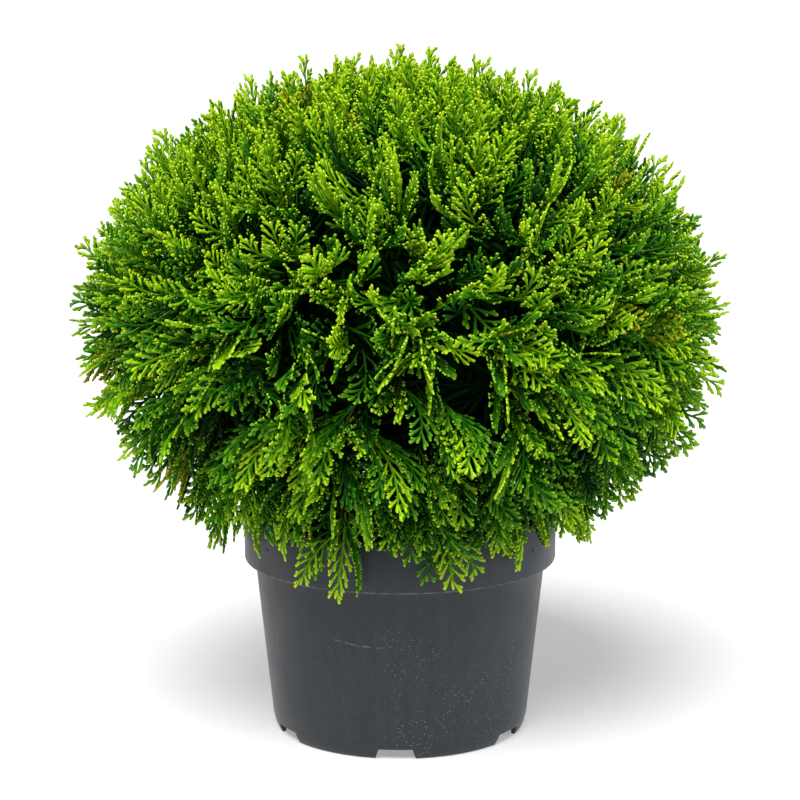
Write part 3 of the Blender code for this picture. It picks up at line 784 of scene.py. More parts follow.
def tube(path, radii, sides, relief=0.0):
    """Points and triangles of one closed tapering tube, with bark relief as a share of its radius."""
    path = np.array([tuple(p) for p in path])
    count = len(path)
    along = np.gradient(path, axis=0)
    along /= np.linalg.norm(along, axis=1, keepdims=True)
    across = np.cross(along, NO_LIMB_WAY)
    across /= np.linalg.norm(across, axis=1, keepdims=True)
    other = np.cross(along, across)
    angles = 2.0 * math.pi * np.arange(sides) / sides
    radii = np.array(radii)[:, None] * np.ones(sides)
    if relief:
        for i in range(count):
            for k in range(sides):
                radii[i, k] *= 1.0 + relief * strip_relief(angles[k], path[i, 2] + path[i, 0])
    ring = across[:, None] * np.cos(angles)[None, :, None] + other[:, None] * np.sin(angles)[None, :, None]
    points = (path[:, None] + ring * radii[..., None]).reshape(-1, 3)
    points = np.vstack([points, path[:1], path[-1:]])
    faces = []
    for i in range(count - 1):
        for k in range(sides):
            a, b = i * sides + k, i * sides + (k + 1) % sides
            faces += [(a, b, b + sides), (a, b + sides, a + sides)]
    low, high = count * sides, count * sides + 1
    last = (count - 1) * sides
    for k in range(sides):
        n = (k + 1) % sides
        faces += [(low, n, k), (high, last + k, last + n)]
    return points, np.array(faces)


class Heap:
    """Points and triangles that are collected before they become one mesh."""

    def __init__(self):
        self.points, self.faces, self.count, self.triangles = [], [], 0, 0

    def add(self, points, faces):
        self.points.append(points)
        self.faces.append(faces + self.count)
        self.count += len(points)
        self.triangles += len(faces)


def piece_from(name, heap, material):
    """One smooth mesh object from a heap of arrays."""
    points, faces = np.vstack(heap.points), np.vstack(heap.faces)
    mesh = bpy.data.meshes.new(name)
    mesh.vertices.add(len(points))
    mesh.vertices.foreach_set("co", points.astype(np.float32).ravel())
    mesh.loops.add(3 * len(faces))
    mesh.loops.foreach_set("vertex_index", faces.astype(np.int32).ravel())
    mesh.polygons.add(len(faces))
    mesh.polygons.foreach_set("loop_start", 3 * np.arange(len(faces), dtype=np.int32))
    mesh.update(calc_edges=True)
    mesh.shade_smooth()
    mesh.materials.append(material)
    made = bpy.data.objects.new(name, mesh)
    bpy.context.scene.collection.objects.link(made)
    return made


trial_points, trial_faces = tube([CENTRE, CENTRE + UP], tapered(2.0 * MM, 1.0 * MM, 2), 5)
print("a tube of two rings with five sides has", len(trial_faces), "triangles")

# %% [markdown]
# Every mass but the top one hangs on one bough, which leaves the trunk with a dip and rises to the mass. A
# thinner stem goes on inside each mass, at the top straight from the trunk's end. From the stem a twig runs
# to the root of every spray, and on along the spray itself. The boughs and stems get the relief of bark. The
# twigs are too thin for it and keep five plain sides.

# %% Boughs, stems and twigs
BOUGH_BASE_RADIUS = 3.8 * MM
BOUGH_TIP_RADIUS = 2.5 * MM
BOUGH_DIP = 9.0 * MM
BOUGH_STEPS = 14
BOUGH_SIDES, STEM_SIDES, TWIG_SIDES = 12, 8, 5
STEM_RADIUS = 2.3 * MM
STEM_STEPS = 6
STEM_PAST_MIDDLE = 0.2
TWIG_RADIUS = 1.25 * MM
TWIG_STEPS = 5
SHOOT_SHARES = (0.0, 0.15, 0.3, 0.45, 0.6)  # places of the rings along a spray

bough_heap, twig_heap = Heap(), Heap()
forks = []
for way, foot, site in zip(ways, feet, sites):
    end = CENTRE + way * (HOLLOW_SHARE * crown_reach(way) - ENTRY_DEPTH)
    stem_way = way
    if foot is not None:
        outward = Vector((way.x, way.y, 0.0)).normalized()
        start = trunk_middle(foot) + outward * (trunk_radius(foot) - 1.0 * MM)
        dip = start.lerp(end, 0.45) + outward * BOUGH_DIP * 0.7 - UP * BOUGH_DIP
        path = [on_curve((start, dip, end), i / BOUGH_STEPS) for i in range(BOUGH_STEPS + 1)]
        radii = tapered(BOUGH_BASE_RADIUS, BOUGH_TIP_RADIUS, BOUGH_STEPS + 1)
        bough_heap.add(*tube(path, radii, BOUGH_SIDES, STRIP_DEPTH))
        stem_way = (path[-1] - path[-2]).normalized()
    start = end - stem_way * 1.0 * MM
    fork = site + (site - start) * STEM_PAST_MIDDLE
    bend = start.lerp(fork, 0.5) + stem_way * 3.0 * MM
    stem = [on_curve((start, bend, fork), i / STEM_STEPS) for i in range(STEM_STEPS + 1)]
    radii = tapered(STEM_RADIUS, STEM_RADIUS * 0.6, STEM_STEPS + 1)
    bough_heap.add(*tube(stem, radii, STEM_SIDES, STRIP_DEPTH))
    forks.append((start, fork))

for root, elbow, tip in spray_paths:
    middle = (root + elbow + tip) / 3
    nearest = min(range(len(sites)), key=lambda i: (sites[i] - middle).length)
    start, fork = forks[nearest]
    scatter = (root.x * 977.0 + root.z * 613.0) % 1.0  # spreads the twigs along the stem
    base = start.lerp(fork, 0.3 + 0.65 * scatter)
    bend = base.lerp(root, 0.55) + (fork - start) * 0.12
    twig = [on_curve((base, bend, root), i / TWIG_STEPS) for i in range(TWIG_STEPS + 1)]
    twig_heap.add(*tube(twig, tapered(TWIG_RADIUS * 1.15, TWIG_RADIUS * 0.85, TWIG_STEPS + 1), TWIG_SIDES))
    shoot = [on_curve((root, elbow, tip), t) for t in SHOOT_SHARES]
    radii = tapered(TWIG_RADIUS * 0.88, TWIG_RADIUS * 0.48, len(shoot))
    twig_heap.add(*tube(shoot, radii, TWIG_SIDES))
print("boughs and stems", bough_heap.triangles, "triangles, twigs", twig_heap.triangles)

# %% [markdown]
# Old bark is grey brown with darker furrows between its strips, so one stretched noise gives its colour and
# its finest relief. The twigs are still green brown and plain.

# %% Bark
BARK_DARK, BARK_PALE = (0.055, 0.030, 0.020), (0.27, 0.18, 0.125)
TWIG_BROWN = (0.030, 0.034, 0.007)


def bark_material(name, dark, pale):
    material = bpy.data.materials.new(name)
    material.use_nodes = True
    tree = material.node_tree
    shader = tree.nodes["Principled BSDF"]
    strips = add_node(tree, "ShaderNodeTexNoise", Scale=1.0, Detail=6.0, Roughness=0.6)
    tree.links.new(stretched(tree, (520.0, 520.0, 60.0)), strips.inputs["Vector"])
    middle = tuple((a + b) / 2 for a, b in zip(dark, pale))
    tone = colour_ramp(tree, strips.outputs["Fac"], [(0.32, dark), (0.52, middle), (0.72, pale)])
    tree.links.new(tone, shader.inputs["Base Color"])
    tree.links.new(add_bump(tree, strips.outputs["Fac"], 0.7, 0.0008), shader.inputs["Normal"])
    shader.inputs["Roughness"].default_value = 0.88
    return material


old_bark = bark_material("trunk_bark", BARK_DARK, BARK_PALE)
twig_bark = plain_material("twig_bark", TWIG_BROWN, 0.85, 0.15)
trunk.data.materials.clear()
trunk.data.materials.append(old_bark)
boughs = piece_from("boughs_bark", bough_heap, old_bark)
twigs = piece_from("twigs", twig_heap, twig_bark)
for piece in (trunk, boughs, twigs):
    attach(piece, "root")
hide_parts("trunk")
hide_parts(*bough_nodes)
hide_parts(*foliage_nodes)
print("bark finished")

# %% [markdown]
# A thuja frond is flat. From its midrib fingers leave to both sides in turn, each one clad in tiny pressed
# scales and ending in a round bud, with smaller buds along its sides. The finger and the two buds are the
# only leaf shapes there are. Each is drawn once, from a triangle that is extruded and drawn in, and then
# copied by arrays. Three sides are enough at this size: one keel above and a flat back, as the real finger
# has. A bud is parted into its body and its point, because the very point gets a pale painted highlight.

# %% One finger and two buds


def drawn_out(name, rings, closed_by_point):
    """A three-sided body along +X. rings are (x, size), and the last one closes in a point or a flat end."""
    deselect_all()
    facing_along = (math.pi / 2, 0.0, math.pi / 2)
    bpy.ops.mesh.primitive_circle_add(vertices=3, radius=1.0, fill_type="NGON", rotation=facing_along)
    body = bpy.context.object
    body.name = name
    bpy.ops.object.transform_apply(location=True, rotation=True, scale=True)
    bpy.ops.object.mode_set(mode="EDIT")
    bpy.ops.mesh.select_all(action="SELECT")
    x, size = rings[0]
    bpy.ops.transform.resize(value=(1.0, size, size), center_override=(0.0, 0.0, 0.0))
    for next_x, next_size in rings[1:]:
        bpy.ops.mesh.extrude_region_move()
        bpy.ops.transform.translate(value=(next_x - x, 0.0, 0.0))
        scale = next_size / size
        bpy.ops.transform.resize(value=(1.0, scale, scale), center_override=(next_x, 0.0, 0.0))
        x, size = next_x, next_size
    if closed_by_point:
        bpy.ops.mesh.extrude_region_move()
        bpy.ops.transform.translate(value=(1.0 - x, 0.0, 0.0))
        bpy.ops.mesh.merge(type="CENTER")
    bpy.ops.mesh.select_all(action="SELECT")
    bpy.ops.mesh.remove_doubles(threshold=MERGE_WITHIN)
    bpy.ops.mesh.quads_convert_to_tris()
    bpy.ops.mesh.normals_make_consistent(inside=False)
    bpy.ops.object.mode_set(mode="OBJECT")
    points = np.array([tuple(v.co) for v in body.data.vertices])
    faces = np.array([tuple(f.vertices) for f in body.data.polygons])
    bpy.data.objects.remove(body, do_unlink=True)
    return points, faces


def parted(shape, x):
    """The part of a shape short of x and the part beyond it."""
    points, faces = shape
    beyond = points[faces][:, :, 0].min(axis=1) > x - 0.01
    halves = []
    for chosen in (faces[~beyond], faces[beyond]):
        used, again = np.unique(chosen, return_inverse=True)
        halves.append((points[used], again.reshape(-1, 3)))
    return halves


finger_shape = drawn_out("finger", [(0.0, 0.72), (0.55, 0.88), (1.0, 1.05)], False)
bud_shape, bud_tip = parted(drawn_out("bud", [(0.0, 0.90), (0.50, 1.06), (0.82, 0.90)], True), 0.82)
side_bud_shape, side_bud_tip = parted(drawn_out("side_bud", [(0.0, 0.78), (0.80, 0.96)], True), 0.80)
rib_shape = drawn_out("rib", [(i / 6, 1.0 - 0.25 * i / 6) for i in range(7)], False)
for title, (_, faces) in (("finger", finger_shape), ("bud", bud_shape), ("its point", bud_tip)):
    print(title, "has", len(faces), "triangles")

# %% [markdown]
# A frond is laid out flat first. Fingers stand at about forty degrees, longest a third of the way up and
# shorter towards the tip, so that the outline is a feather. Every frond is four heaps, from dark to pale:
# old growth near its foot, partly darkened as painted shade, young growth further on, the buds, and their
# points, which carry a painted highlight. Those for the upper half of the crown are slimmer and more closed,
# and the ones for its inside have broad fingers and no buds. A few of each are enough, because each one is
# bent and turned anew where it grows.

# %% Fronds laid out flat
FINGER_WIDTH = 1.08 * MM  # half of the full width
FINGER_THICKNESS = 0.80 * MM
BUD_WIDTH = 1.24 * MM
END_BUD = 5.2 * MM
OUTER_FROM = 0.38  # share of the frond beyond which the growth is young and no longer darkened by painted shade
FIRST_FINGER, LAST_FINGER = 0.10, 0.94  # shares of the midrib where fingers leave
SHORTEST_FINGER = 4.2 * MM
BUD_SPACING = 4.0 * MM
LARGE, SMALL = 56.0 * MM, 42.0 * MM  # lengths of the fronds


def bent(shape, start, angle, bend, length, half_width, half_thickness):
    """The unit shape laid in the frond's plane from start, leaving at angle and turning by bend."""
    points, faces = shape
    s, across, lift = points[:, 0], points[:, 1] * half_width, points[:, 2] * half_thickness
    heading, mean = angle + bend * s, angle + bend * s / 2
    x = start[0] + length * s * np.cos(mean) - across * np.sin(heading)
    y = start[1] + length * s * np.sin(mean) + across * np.cos(heading)
    return np.stack([x, y, lift], axis=1), faces


def end_of(start, angle, bend, length, share):
    """The point and the heading at a share of a bent finger."""
    mean = angle + bend * share / 2
    place = (start[0] + length * share * math.cos(mean), start[1] + length * share * math.sin(mean))
    return place, angle + bend * share


def flat_frond(length, fingers, widest, opening, dice, slim=1.0, with_buds=True):
    """One frond in four parts: old growth, young growth, buds and tips.
    The old growth is darkened with painted shade, and the tips carry a painted highlight.

    Its fingers leave at about opening degrees. Without buds it is all old growth, and its fingers are broad.
    """
    old, young, buds, tips = parts = Heap(), Heap(), Heap(), Heap()
    finger_width = FINGER_WIDTH * slim * (1.0 if with_buds else 2.0)
    bud_width = BUD_WIDTH * slim
    old.add(*bent(rib_shape, (0.0, 0.0), 0.0, 0.0, length * 0.97, FINGER_WIDTH * slim, FINGER_THICKNESS))
    if with_buds:
        end = (length * LAST_FINGER, 0.0)
        for part, shape in ((buds, bud_shape), (tips, bud_tip)):
            part.add(*bent(shape, end, 0.0, 0.0, END_BUD, bud_width, FINGER_THICKNESS))
    for i in range(fingers):
        share = FIRST_FINGER + (LAST_FINGER - FIRST_FINGER) * i / (fingers - 1)
        side = 1 if i % 2 == 0 else -1
        body, ends = (young, buds) if share > OUTER_FROM and with_buds else (old, young)
        grow_in = min(1.0, 0.55 + share * 1.6)
        size = widest * grow_in * (1.0 - share) ** 0.8 * dice.uniform(0.80, 1.15)
        size += SHORTEST_FINGER
        angle = side * math.radians(opening + dice.uniform(-5.0, 5.0) - 10.0 * share)
        bend = -side * math.radians(dice.uniform(4.0, 18.0))
        start = (share * length, 0.0)
        body.add(*bent(finger_shape, start, angle, bend, size, finger_width, FINGER_THICKNESS))
        if not with_buds:
            continue
        place, heading = end_of(start, angle, bend, size, 0.94)
        reach = dice.uniform(3.0, 4.2) * MM
        ends.add(*bent(bud_shape, place, heading, 0.0, reach, bud_width, FINGER_THICKNESS))
        tips.add(*bent(bud_tip, place, heading, 0.0, reach, bud_width, FINGER_THICKNESS))
        spots = max(1, round((size - 5.0 * MM) / (4.4 * MM)))
        for j in range(spots):
            at = 1.0 - (0.6 + j) * BUD_SPACING / size
            if at < 0.25:
                break
            place, heading = end_of(start, angle, bend, size, at)
            turn = (1 if j % 2 == 0 else -1) * side * math.radians(opening - dice.uniform(1.0, 13.0))
            reach = (3.6 + 0.6 * j) * MM * dice.uniform(0.8, 1.2)
            laid = (place, heading + turn, -turn * 0.5, reach, bud_width * 0.95, FINGER_THICKNESS)
            ends.add(*bent(side_bud_shape, *laid))
            tips.add(*bent(side_bud_tip, *laid))
    return [(np.vstack(part.points), np.vstack(part.faces)) if part.points else None for part in parts]


frond_dice = random.Random(21)
large_fronds = [flat_frond(LARGE, 13, 17.0 * MM, 45.0, frond_dice) for _ in range(6)]
small_fronds = [flat_frond(SMALL, 10, 13.5 * MM, 45.0, frond_dice) for _ in range(8)]
large_upright = [flat_frond(LARGE, 12, 18.5 * MM, 38.0, frond_dice, 0.90) for _ in range(6)]
small_upright = [flat_frond(SMALL, 10, 15.0 * MM, 38.0, frond_dice, 0.90) for _ in range(8)]
inner_fronds = [flat_frond(SMALL, 10, 19.0 * MM, 45.0, frond_dice, 1.0, False) for _ in range(4)]
named_fronds = (("large", large_fronds), ("small", small_fronds), ("upright", large_upright + small_upright))
for title, fronds in named_fronds:
    counts = [sum(len(part[1]) for part in frond) for frond in fronds]
    print(title, "fronds have", min(counts), "to", max(counts), "triangles")
print("inner fronds have", len(inner_fronds[0][0][1]))

# %% [markdown]
# Colour follows age and light, and the light is painted into it. The youngest fronds on top are yellow
# green, partly from painted light from above, the sides are a full green, what sits deep in the crown is
# almost black with painted shade, and a frond here and there has a bronze cast. Each shade is a few plain
# colours, from old growth to the points of the buds, and it is dealt out by spray, since a pattern would
# slide over such small leaves. The inner fronds have only old growth, so their shade is one colour.

# %% Shades of the foliage


def linear(*srgb):
    """Display values from 0 to 255 as linear light."""
    return tuple(c / 255 / 12.92 if c <= 10 else ((c / 255 + 0.055) / 1.055) ** 2.4 for c in srgb)


SHADES = {  # name: (old growth, young growth, buds, tips), with painted shade in the first and a painted highlight in the last
    "fresh": (linear(80, 138, 3), linear(132, 178, 8), linear(155, 194, 14), linear(182, 212, 46)),
    "bright": (linear(50, 112, 2), linear(96, 151, 5), linear(131, 176, 12), linear(166, 202, 43)),
    "full": (linear(22, 83, 1), linear(51, 111, 3), linear(86, 141, 8), linear(136, 183, 38)),
    "deep": (linear(3, 40, 0), linear(13, 64, 1), linear(34, 90, 3), linear(70, 125, 19)),
    # the inner fronds' one near-black colour is painted shade
    "shade": (linear(1, 26, 0),),
    "bronze": (linear(76, 104, 4), linear(118, 132, 8), linear(146, 148, 14), linear(178, 172, 34)),
}
KINDS = ("old", "young", "buds", "tips")
LEAF_ROUGHNESS = 0.45
LEAF_GLOSS, INNER_GLOSS = 0.12, 0.03
leaf_materials = {}
for shade, colours in SHADES.items():
    for kind, colour in zip(KINDS, colours):
        gloss = INNER_GLOSS if shade == "shade" else LEAF_GLOSS
        leaf_materials[shade, kind] = plain_material(f"thuja_{shade}_{kind}", colour, LEAF_ROUGHNESS, gloss)
print(len(leaf_materials), "foliage materials")

# %% [markdown]
# A flat frond is bent along a curve of its own: its points keep their distance along and across, and the
# midrib arches the way the branchlet leans. Points that would come out of the crown's reach, or touch the
# pot, are set back, so that the crown keeps its even outline and the rim stays clear.

# %% Bending a frond into place
RIM_CLEAR = RIM_RADIUS + 2.3 * MM
RIM_ABOVE = 2.0 * MM
SOIL_CLEAR = 4.0 * MM
REACH_LIMIT = 1.012  # no point of a frond goes further out than this share of the reach
INNER_LIMIT = 0.84  # and no point of an inner one
HANGING_LIMIT = 1.2  # those over the rim hang below the reach
FROND_FULLNESS = 2.4  # the fine tips fill the lower half's outline a little more than the solids
CENTRE_ROW = np.array(tuple(CENTRE))
heaps = {}


def keep_within(points, limit):
    """Sets points back inside a share of the crown's reach, beside the rim and above the soil."""
    ray = points - CENTRE_ROW
    fullness = np.where(ray[:, 2] > 0, 2.0, FROND_FULLNESS)
    high = np.abs(ray[:, 2]) / np.where(ray[:, 2] > 0, CROWN_RISE, CROWN_FALL)
    flat = np.hypot(ray[:, 0], ray[:, 1]) / CROWN_RADIUS
    share = (flat**fullness + high**fullness) ** (1.0 / fullness)
    over = share > limit
    points[over] = CENTRE_ROW + ray[over] * (limit / share[over])[:, None]
    radius = np.hypot(points[:, 0], points[:, 1])
    beside = (points[:, 2] < POT_HEIGHT + RIM_ABOVE) & (radius < RIM_CLEAR) & (radius > NECK_RADIUS)
    points[beside, :2] *= (RIM_CLEAR / radius[beside])[:, None]
    inside = (radius <= NECK_RADIUS) & (points[:, 2] < SOIL_TOP + SOIL_CLEAR)
    points[inside, 2] = SOIL_TOP + SOIL_CLEAR
    return points


def grow(frond, length, curve, across, shade, cup, mirror=1.0, limit=REACH_LIMIT):
    """Bends one flat frond along curve, with its width along across, into the heaps of its shade."""
    p0, p1, p2 = (np.array(tuple(p)) for p in curve)
    across = np.array(tuple(across))
    for kind, part in zip(KINDS, frond):
        if part is None:
            continue
        points, faces = part
        s = (points[:, 0] / length)[:, None]
        middle = (1 - s) ** 2 * p0 + 2 * s * (1 - s) * p1 + s * s * p2
        along = (1 - s) * (p1 - p0) + s * (p2 - p1)
        along /= np.linalg.norm(along, axis=1, keepdims=True)
        wide = across - along * (along @ across)[:, None]
        wide /= np.linalg.norm(wide, axis=1, keepdims=True)
        normal = np.cross(along, wide)
        offset = points[:, 1:2] * mirror
        lift = points[:, 2:3] + cup * offset**2 / (20.0 * MM)
        placed = keep_within(middle + wide * offset + normal * lift, limit)
        heap = heaps.setdefault((shade, kind), Heap())
        heap.add(placed, faces if mirror > 0 else faces[:, ::-1])


print("fronds end within", round(CROWN_RADIUS * REACH_LIMIT / MM, 1), "mm of the middle")

# %% [markdown]
# Between the tufts of a thuja one looks into small dark pockets. Three are listed for the front, a few are
# drawn by lot on the back, and the others lie evenly all over the crown. No frond ends in a pocket, so that
# the inner growth shows there, coloured almost black as painted shade.

# %% Dark pockets
GAP_RADIUS = 14.0 * MM
GAP_SHARE = 0.94  # a pocket's middle, as a share of the reach
GAPS_BY_LOT = 6
POCKET_COUNT = 56
POCKET_LOWEST, POCKET_SPAN = -0.55, 1.35  # sines of the elevation, from the lowest on

gaps = [Vector((-0.057, -0.170, 0.300)), Vector((0.090, -0.160, 0.295)), Vector((-0.030, -0.165, 0.205))]
leaf_dice = random.Random(11)
for _ in range(GAPS_BY_LOT):
    way = direction(leaf_dice.uniform(0.0, math.pi), leaf_dice.uniform(-0.5, 0.6))
    gaps.append(CENTRE + way * crown_reach(way) * GAP_SHARE)
pocket_dice = random.Random(12)
for i in range(POCKET_COUNT):
    elevation = math.asin(POCKET_LOWEST + POCKET_SPAN * (i + 0.5) / POCKET_COUNT)
    way = direction(i * GOLDEN_ANGLE + pocket_dice.uniform(-0.15, 0.15), elevation)
    gaps.append(CENTRE + way * crown_reach(way) * GAP_SHARE)


def in_gap(*places):
    """Whether one of the places lies in one of the dark pockets."""
    return any((place - gap).length < GAP_RADIUS for gap in gaps for place in places)


print(len(gaps), "dark pockets")

# %% [markdown]
# Where a frond stands decides how it grows and which shade it has. On top it stands up, low down it hangs,
# and between the two it points outwards. The shade paints light and shade: it is brighter towards the top,
# where the light falls, and at the outside, darker further in, and it scatters from frond to frond. Nothing
# at the very outside is of the deepest shade, so that the outline is painted light all round.

# %% Way of growing and shade
RISING_ABOVE = math.radians(20.0)  # elevation from which fronds stand up
FALLING_BELOW = math.radians(-14.0)  # and from which they hang
OUTWARD_PULL = 0.80  # how much a frond also points away from the middle
RISE, FALL = 0.95, 0.36  # and how strongly it stands up or hangs
SIDEWAYS_LOW, SIDEWAYS_LESS = 0.52, 0.28  # scatter to the sides low down, and how much less on top
BRONZE_SHARE = 0.013
# these paint light into the colour: paler high up, where the lamp falls, and at the outside
SHADE_FROM, SHADE_SPAN = 0.10, 0.31  # heights over which the shade goes from its deepest to its brightest
OUTSIDE_FROM, OUTSIDE_SPAN = 0.86, 0.10  # shares of the reach over which a place comes to lie at the outside
SHADE_START, SHADE_BY_HEIGHT, SHADE_BY_OUTSIDE = 0.98, 2.45, 0.75  # they add up to a place in the order below
SHADE_ORDER = ("deep", "full", "bright", "fresh")


def crown_share(place):
    """How far out a place is, as a share of the reach."""
    ray = place - CENTRE
    return ray.length / crown_reach(ray.normalized())


def growing_way(place, dice):
    """Fronds stand up on the crown's upper part, hang below it, and point outwards between the two."""
    way = (place - CENTRE).normalized()
    share = (math.asin(way.z) - FALLING_BELOW) / (RISING_ABOVE - FALLING_BELOW)
    share = max(0.0, min(1.0, share))
    rising = (RISE + FALL) * share * share * (3.0 - 2.0 * share) - FALL
    side = Vector((-way.y, way.x, 0.0)).normalized()
    sideways = dice.gauss(0.0, SIDEWAYS_LOW - SIDEWAYS_LESS * share)
    return (way * OUTWARD_PULL + UP * rising + side * sideways).normalized()


def pick_painted_light(place, dice, deeper, scatter):
    """Painted light: brighter towards the top and the outside, with some scatter.
    Large deeper values give deeper shades, as painted shade.
    """
    if dice.random() < BRONZE_SHARE and deeper > 0.0:
        return "bronze"
    height = (place.z - SHADE_FROM) / SHADE_SPAN
    outer = max(0.0, min(1.0, (crown_share(place) - OUTSIDE_FROM) / OUTSIDE_SPAN))
    value = SHADE_START + SHADE_BY_HEIGHT * height + SHADE_BY_OUTSIDE * outer
    value += dice.gauss(0.0, scatter) - deeper
    # painted light on the outline: no deepest shade at the very outside
    lowest = 1 if outer > 0.9 else 0
    return SHADE_ORDER[max(lowest, min(3, int(value)))]


for path in (spray_paths[0], spray_paths[-1]):
    rising = growing_way(path[2], random.Random(1)).z
    print("a frond at height", round(path[2].z, 3), "rises by", round(rising, 2), "of its length")

# %% [markdown]
# Each branchlet carries one large frond at its end, smaller ones in turn along its sides, and older ones
# further in, coloured almost black as painted shade, which stand across it and close the crown. On the
# upper half the slim upright fronds are used. Those over the rim hang, and they have only the side fronds
# that stay close to them.

# %% One branchlet
LOW_PUSH = 9.0 * MM  # how much further out than the sprays the frond at the end reaches
LOW_PUSH_AT, LOW_PUSH_SPAN = -0.27, 0.25  # at this height of the direction, and how far above and below it
UPRIGHT_FROM = (0.0, 0.4)  # heights of the direction between which the upright fronds take over
HIGH_ABOVE = 0.25  # and the one from which the inner fronds sit deeper
TURN_RISING, TURN_FALLING, TURN_ANY = 1.25, 0.65, 3.0  # spread, in radians, of its turn about its own way
SIDE_REACH_RISING, SIDE_REACH_FALLING = (0.90, 0.985), (0.94, 1.01)  # side fronds end within these shares
# painted light and shade: the frond at the end, out in the light, is paler, side fronds further in deeper
END_PALER, END_SCATTER = 0.35, 0.55  # shade of the frond at the end, and its scatter
SIDE_DEEPER, DEEPER_INWARDS, SIDE_SCATTER = 0.70, 2.4, 0.90  # and the same beside it, by place
# fronds over the rim get paler painted light than their low place gives
HANGING_PALER = 1.2
SIDE_FRONDS = (  # (share of the branchlet where it leaves, offset across, offset along the normal, set back)
    (0.20, 27.0 * MM, 0.0, 22.0 * MM),
    (0.30, -26.0 * MM, 0.0, 17.0 * MM),
    (0.40, 3.0 * MM, 17.0 * MM, 10.0 * MM),
    (0.36, -6.0 * MM, -16.0 * MM, 12.0 * MM),
    (0.48, 15.0 * MM, 0.0, 8.0 * MM),
    (0.58, -14.0 * MM, -5.0 * MM, 6.0 * MM),
)
INNER_HANGING, INNER_HIGH, INNER_LOW = (0.06, 0.24, 0.42), (0.0, 0.08, 0.16), (0.0, 0.07, 0.14, 0.24)


def grow_inner(path, way, shares, dice):
    """Broad fronds in a near-black painted shade that stand across the branchlet at these shares of it."""
    for t in shares:
        base = on_curve(path, t)
        side = Matrix.Rotation(dice.uniform(0.0, 2.0 * math.pi), 3, way) @ way.orthogonal()
        length = LARGE * dice.uniform(1.0, 1.3)
        middle = base - side * length * 0.1
        curve = (middle - side * length * 0.4, middle + way * 4.0 * MM, middle + side * length * 0.6)
        grow(dice.choice(inner_fronds), SMALL, curve, way.cross(side), "shade", 0.1, 1.0, INNER_LIMIT)


def grow_branchlet(path, dice, lift=None):
    """One large frond at the end, small ones beside it, and ones inside in a dark painted shade. Those with a
    lift hang.
    """
    hanging = lift is not None
    tip = path[2] + UP * (lift or 0.0)
    way = (tip - CENTRE).normalized()
    if not hanging:
        tip = tip + way * LOW_PUSH * max(0.0, 1.0 - abs(way.z - LOW_PUSH_AT) / LOW_PUSH_SPAN)
    ahead = growing_way(tip, dice)
    if hanging:
        sideways = Vector((-way.y, way.x, 0.0)).normalized() * dice.gauss(0.0, 0.25)
        ahead = (Vector((way.x, way.y, 0.0)).normalized() * 0.25 + sideways - UP).normalized()
    rising = ahead.dot(UP) > 0.0
    limit = HANGING_LIMIT if hanging else REACH_LIMIT
    paler = HANGING_PALER if hanging else 0.0
    upright = way.z > dice.uniform(*UPRIGHT_FROM)
    large, small = (large_upright, small_upright) if upright else (large_fronds, small_fronds)

    spread = TURN_RISING if rising else TURN_FALLING
    normal = way - ahead * way.dot(ahead)
    if normal.length < 0.15:
        normal = ahead.orthogonal()
        spread = TURN_ANY
    normal = Matrix.Rotation(dice.gauss(0.0, spread), 3, ahead) @ normal.normalized()
    across = normal.cross(ahead)
    curve = (on_curve(path, 0.34), tip - ahead * LARGE * 0.52, tip)
    shade = pick_painted_light(tip, dice, -END_PALER - paler, END_SCATTER)
    shade = "full" if shade == "deep" else shade
    cup, mirror = dice.uniform(-0.25, 0.35), dice.choice((-1, 1))
    if not in_gap(tip, tip - ahead * LARGE * 0.35):
        grow(dice.choice(large), LARGE, curve, across, shade, cup, mirror, limit)

    for t, aside, above, back in SIDE_FRONDS:
        if hanging and (abs(aside) > 20.0 * MM or above > 0.0):
            continue
        aside *= dice.uniform(0.7, 1.15)
        above += dice.gauss(0.0, 6.0) * MM
        back *= dice.uniform(0.6, 1.3)
        end_place = tip + across * aside + normal * above - ahead * back
        nearest = dice.uniform(*(SIDE_REACH_RISING if rising else SIDE_REACH_FALLING))
        share = crown_share(end_place)
        if share > nearest and not hanging:
            end_place = CENTRE + (end_place - CENTRE) * (nearest / share)
        out = (ahead + across * aside * 11.0 + normal * (above * 9.0 + dice.gauss(0.0, 0.2))).normalized()
        base = on_curve(path, t)
        length = min(SMALL * 1.25, max(SMALL * 0.8, (end_place - base).length))
        foot = end_place - (end_place - base).normalized() * length
        deeper = SIDE_DEEPER + DEEPER_INWARDS * (SIDE_FRONDS[-1][0] - t) - paler * 0.5
        shade = pick_painted_light(end_place, dice, deeper, SIDE_SCATTER)
        wide = (Matrix.Rotation(dice.gauss(0.0, 0.5), 3, out) @ normal).cross(out)
        cup, mirror = dice.uniform(-0.3, 0.4), dice.choice((-1, 1))
        if not in_gap(end_place, end_place - out * length * 0.35):
            curve = (foot, end_place - out * length * 0.5, end_place)
            grow(dice.choice(small), SMALL, curve, wide, shade, cup, mirror, limit)

    inner = INNER_HANGING if hanging else INNER_HIGH if way.z > HIGH_ABOVE else INNER_LOW
    grow_inner(path, way, inner, dice)


grow_branchlet(spray_paths[0], random.Random(0))
print("one branchlet has", sum(heap.triangles for heap in heaps.values()), "triangles")
heaps.clear()

# %% [markdown]
# Now every branchlet grows. Those over the rim end a little higher than the solids' sprays, each by its own
# lift, so that their row has no straight edge. The long tufts take three lifts in turn, and the short ones
# between them are drawn by lot.

# %% Growing the crown
LONG_LIFTS = (5.0 * MM, 9.0 * MM, 12.0 * MM)
SHORT_LIFTS = (4.0 * MM, 10.0 * MM, 16.0 * MM)

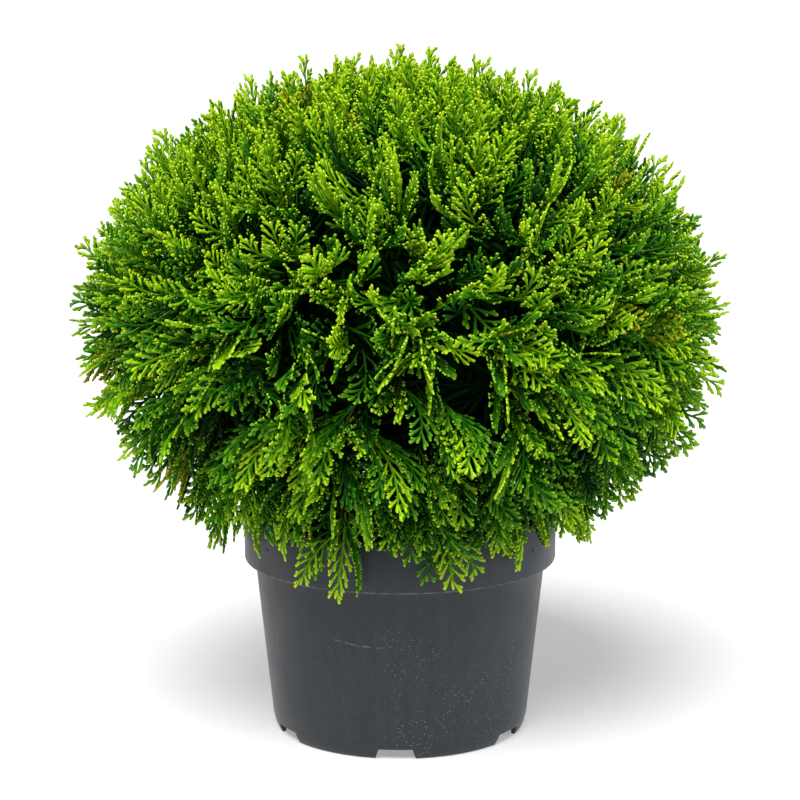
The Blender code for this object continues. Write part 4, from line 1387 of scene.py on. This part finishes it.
for path in spray_paths[:-SKIRT_COUNT]:
    grow_branchlet(path, leaf_dice)
long_lifts = itertools.cycle(LONG_LIFTS)
for path in spray_paths[-SKIRT_COUNT:]:
    is_long = path[2].z < SKIRT_TIP[1] + SKIRT_LONG[1]
    grow_branchlet(path, leaf_dice, next(long_lifts) if is_long else leaf_dice.choice(SHORT_LIFTS))
total = sum(heap.triangles for heap in heaps.values())
print("foliage", total, "triangles after", round(time.time() - started, 1), "s")

# %% [markdown]
# Thin young sprigs with short fingers stand in the dark pockets, and a few more between the other fronds.
# They lie across the dark like light lines.

# %% Sprigs
SPRIG_SHARE = 0.22  # share of the branchlets that have one
SPRIGS_PER_GAP = 4
SPRIG_LIMIT = 0.99


def square_to(way, dice):
    """A unit direction square to way, drawn by lot."""
    return Matrix.Rotation(dice.uniform(0.0, 2.0 * math.pi), 3, way) @ way.orthogonal().normalized()


def grow_sprig(base, end_place, dice):
    """A thin frond from base to its end, arching to one side."""
    out = (end_place - base).normalized()
    side = square_to(out, dice)
    middle = base.lerp(end_place, 0.5) + side * dice.uniform(2.0, 7.0) * MM
    shade = dice.choice(("full", "bright", "bright", "fresh"))
    grow(dice.choice(sprigs), LARGE, (base, middle, end_place), out.cross(side), shade, 0.0)


sprig_dice = random.Random(5)
sprigs = [flat_frond(LARGE, 10, 4.5 * MM, 33.0, sprig_dice, 0.82) for _ in range(4)]
for gap in gaps:
    way = (gap - CENTRE).normalized()
    for _ in range(SPRIGS_PER_GAP):
        aside = square_to(way, sprig_dice)
        end_place = gap + aside * sprig_dice.uniform(2.0, 13.0) * MM
        end_place = end_place + way * sprig_dice.uniform(-4.0, 4.0) * MM
        grow_sprig(gap - way * LARGE * 0.9 - aside * 6.0 * MM, end_place, sprig_dice)
for path in spray_paths[:-SKIRT_COUNT]:
    if sprig_dice.random() > SPRIG_SHARE:
        continue
    tip = path[2]
    ahead = growing_way(tip, sprig_dice)
    aside = square_to(ahead, sprig_dice)
    end_place = tip + aside * sprig_dice.uniform(6.0, 20.0) * MM
    end_place = end_place - ahead * sprig_dice.uniform(-2.0, 8.0) * MM
    share = crown_share(end_place)
    if share > SPRIG_LIMIT:
        end_place = CENTRE + (end_place - CENTRE) * (SPRIG_LIMIT / share)
    grow_sprig(end_place - (ahead + aside * 0.3).normalized() * LARGE * 0.95, end_place, sprig_dice)
print("with sprigs", sum(heap.triangles for heap in heaps.values()), "triangles")

# %% [markdown]
# The old growth of all fronds of one shade becomes one mesh, and so do their young growth, their buds and
# their points, so that the whole crown is about twenty pieces of one plain colour each. Each piece stands
# for all the masses, for every shade is spread over the whole crown.

# %% Pieces of foliage
for (shade, kind), heap in sorted(heaps.items()):
    piece = piece_from(f"foliage_{shade}_{kind}", heap, leaf_materials[shade, kind])
    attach(piece, "root")
    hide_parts(*foliage_nodes)
    print(piece.name, heap.triangles)

# %% [markdown]
# The box of the dressed plant is written down, with the time taken so far. The dressed plant has to fill
# the same box as the CAD model.

# %% Sizes and finish
low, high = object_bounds()
print("visual box", [round(v, 4) for v in (*low, *high)], "after", round(time.time() - started, 1), "s")
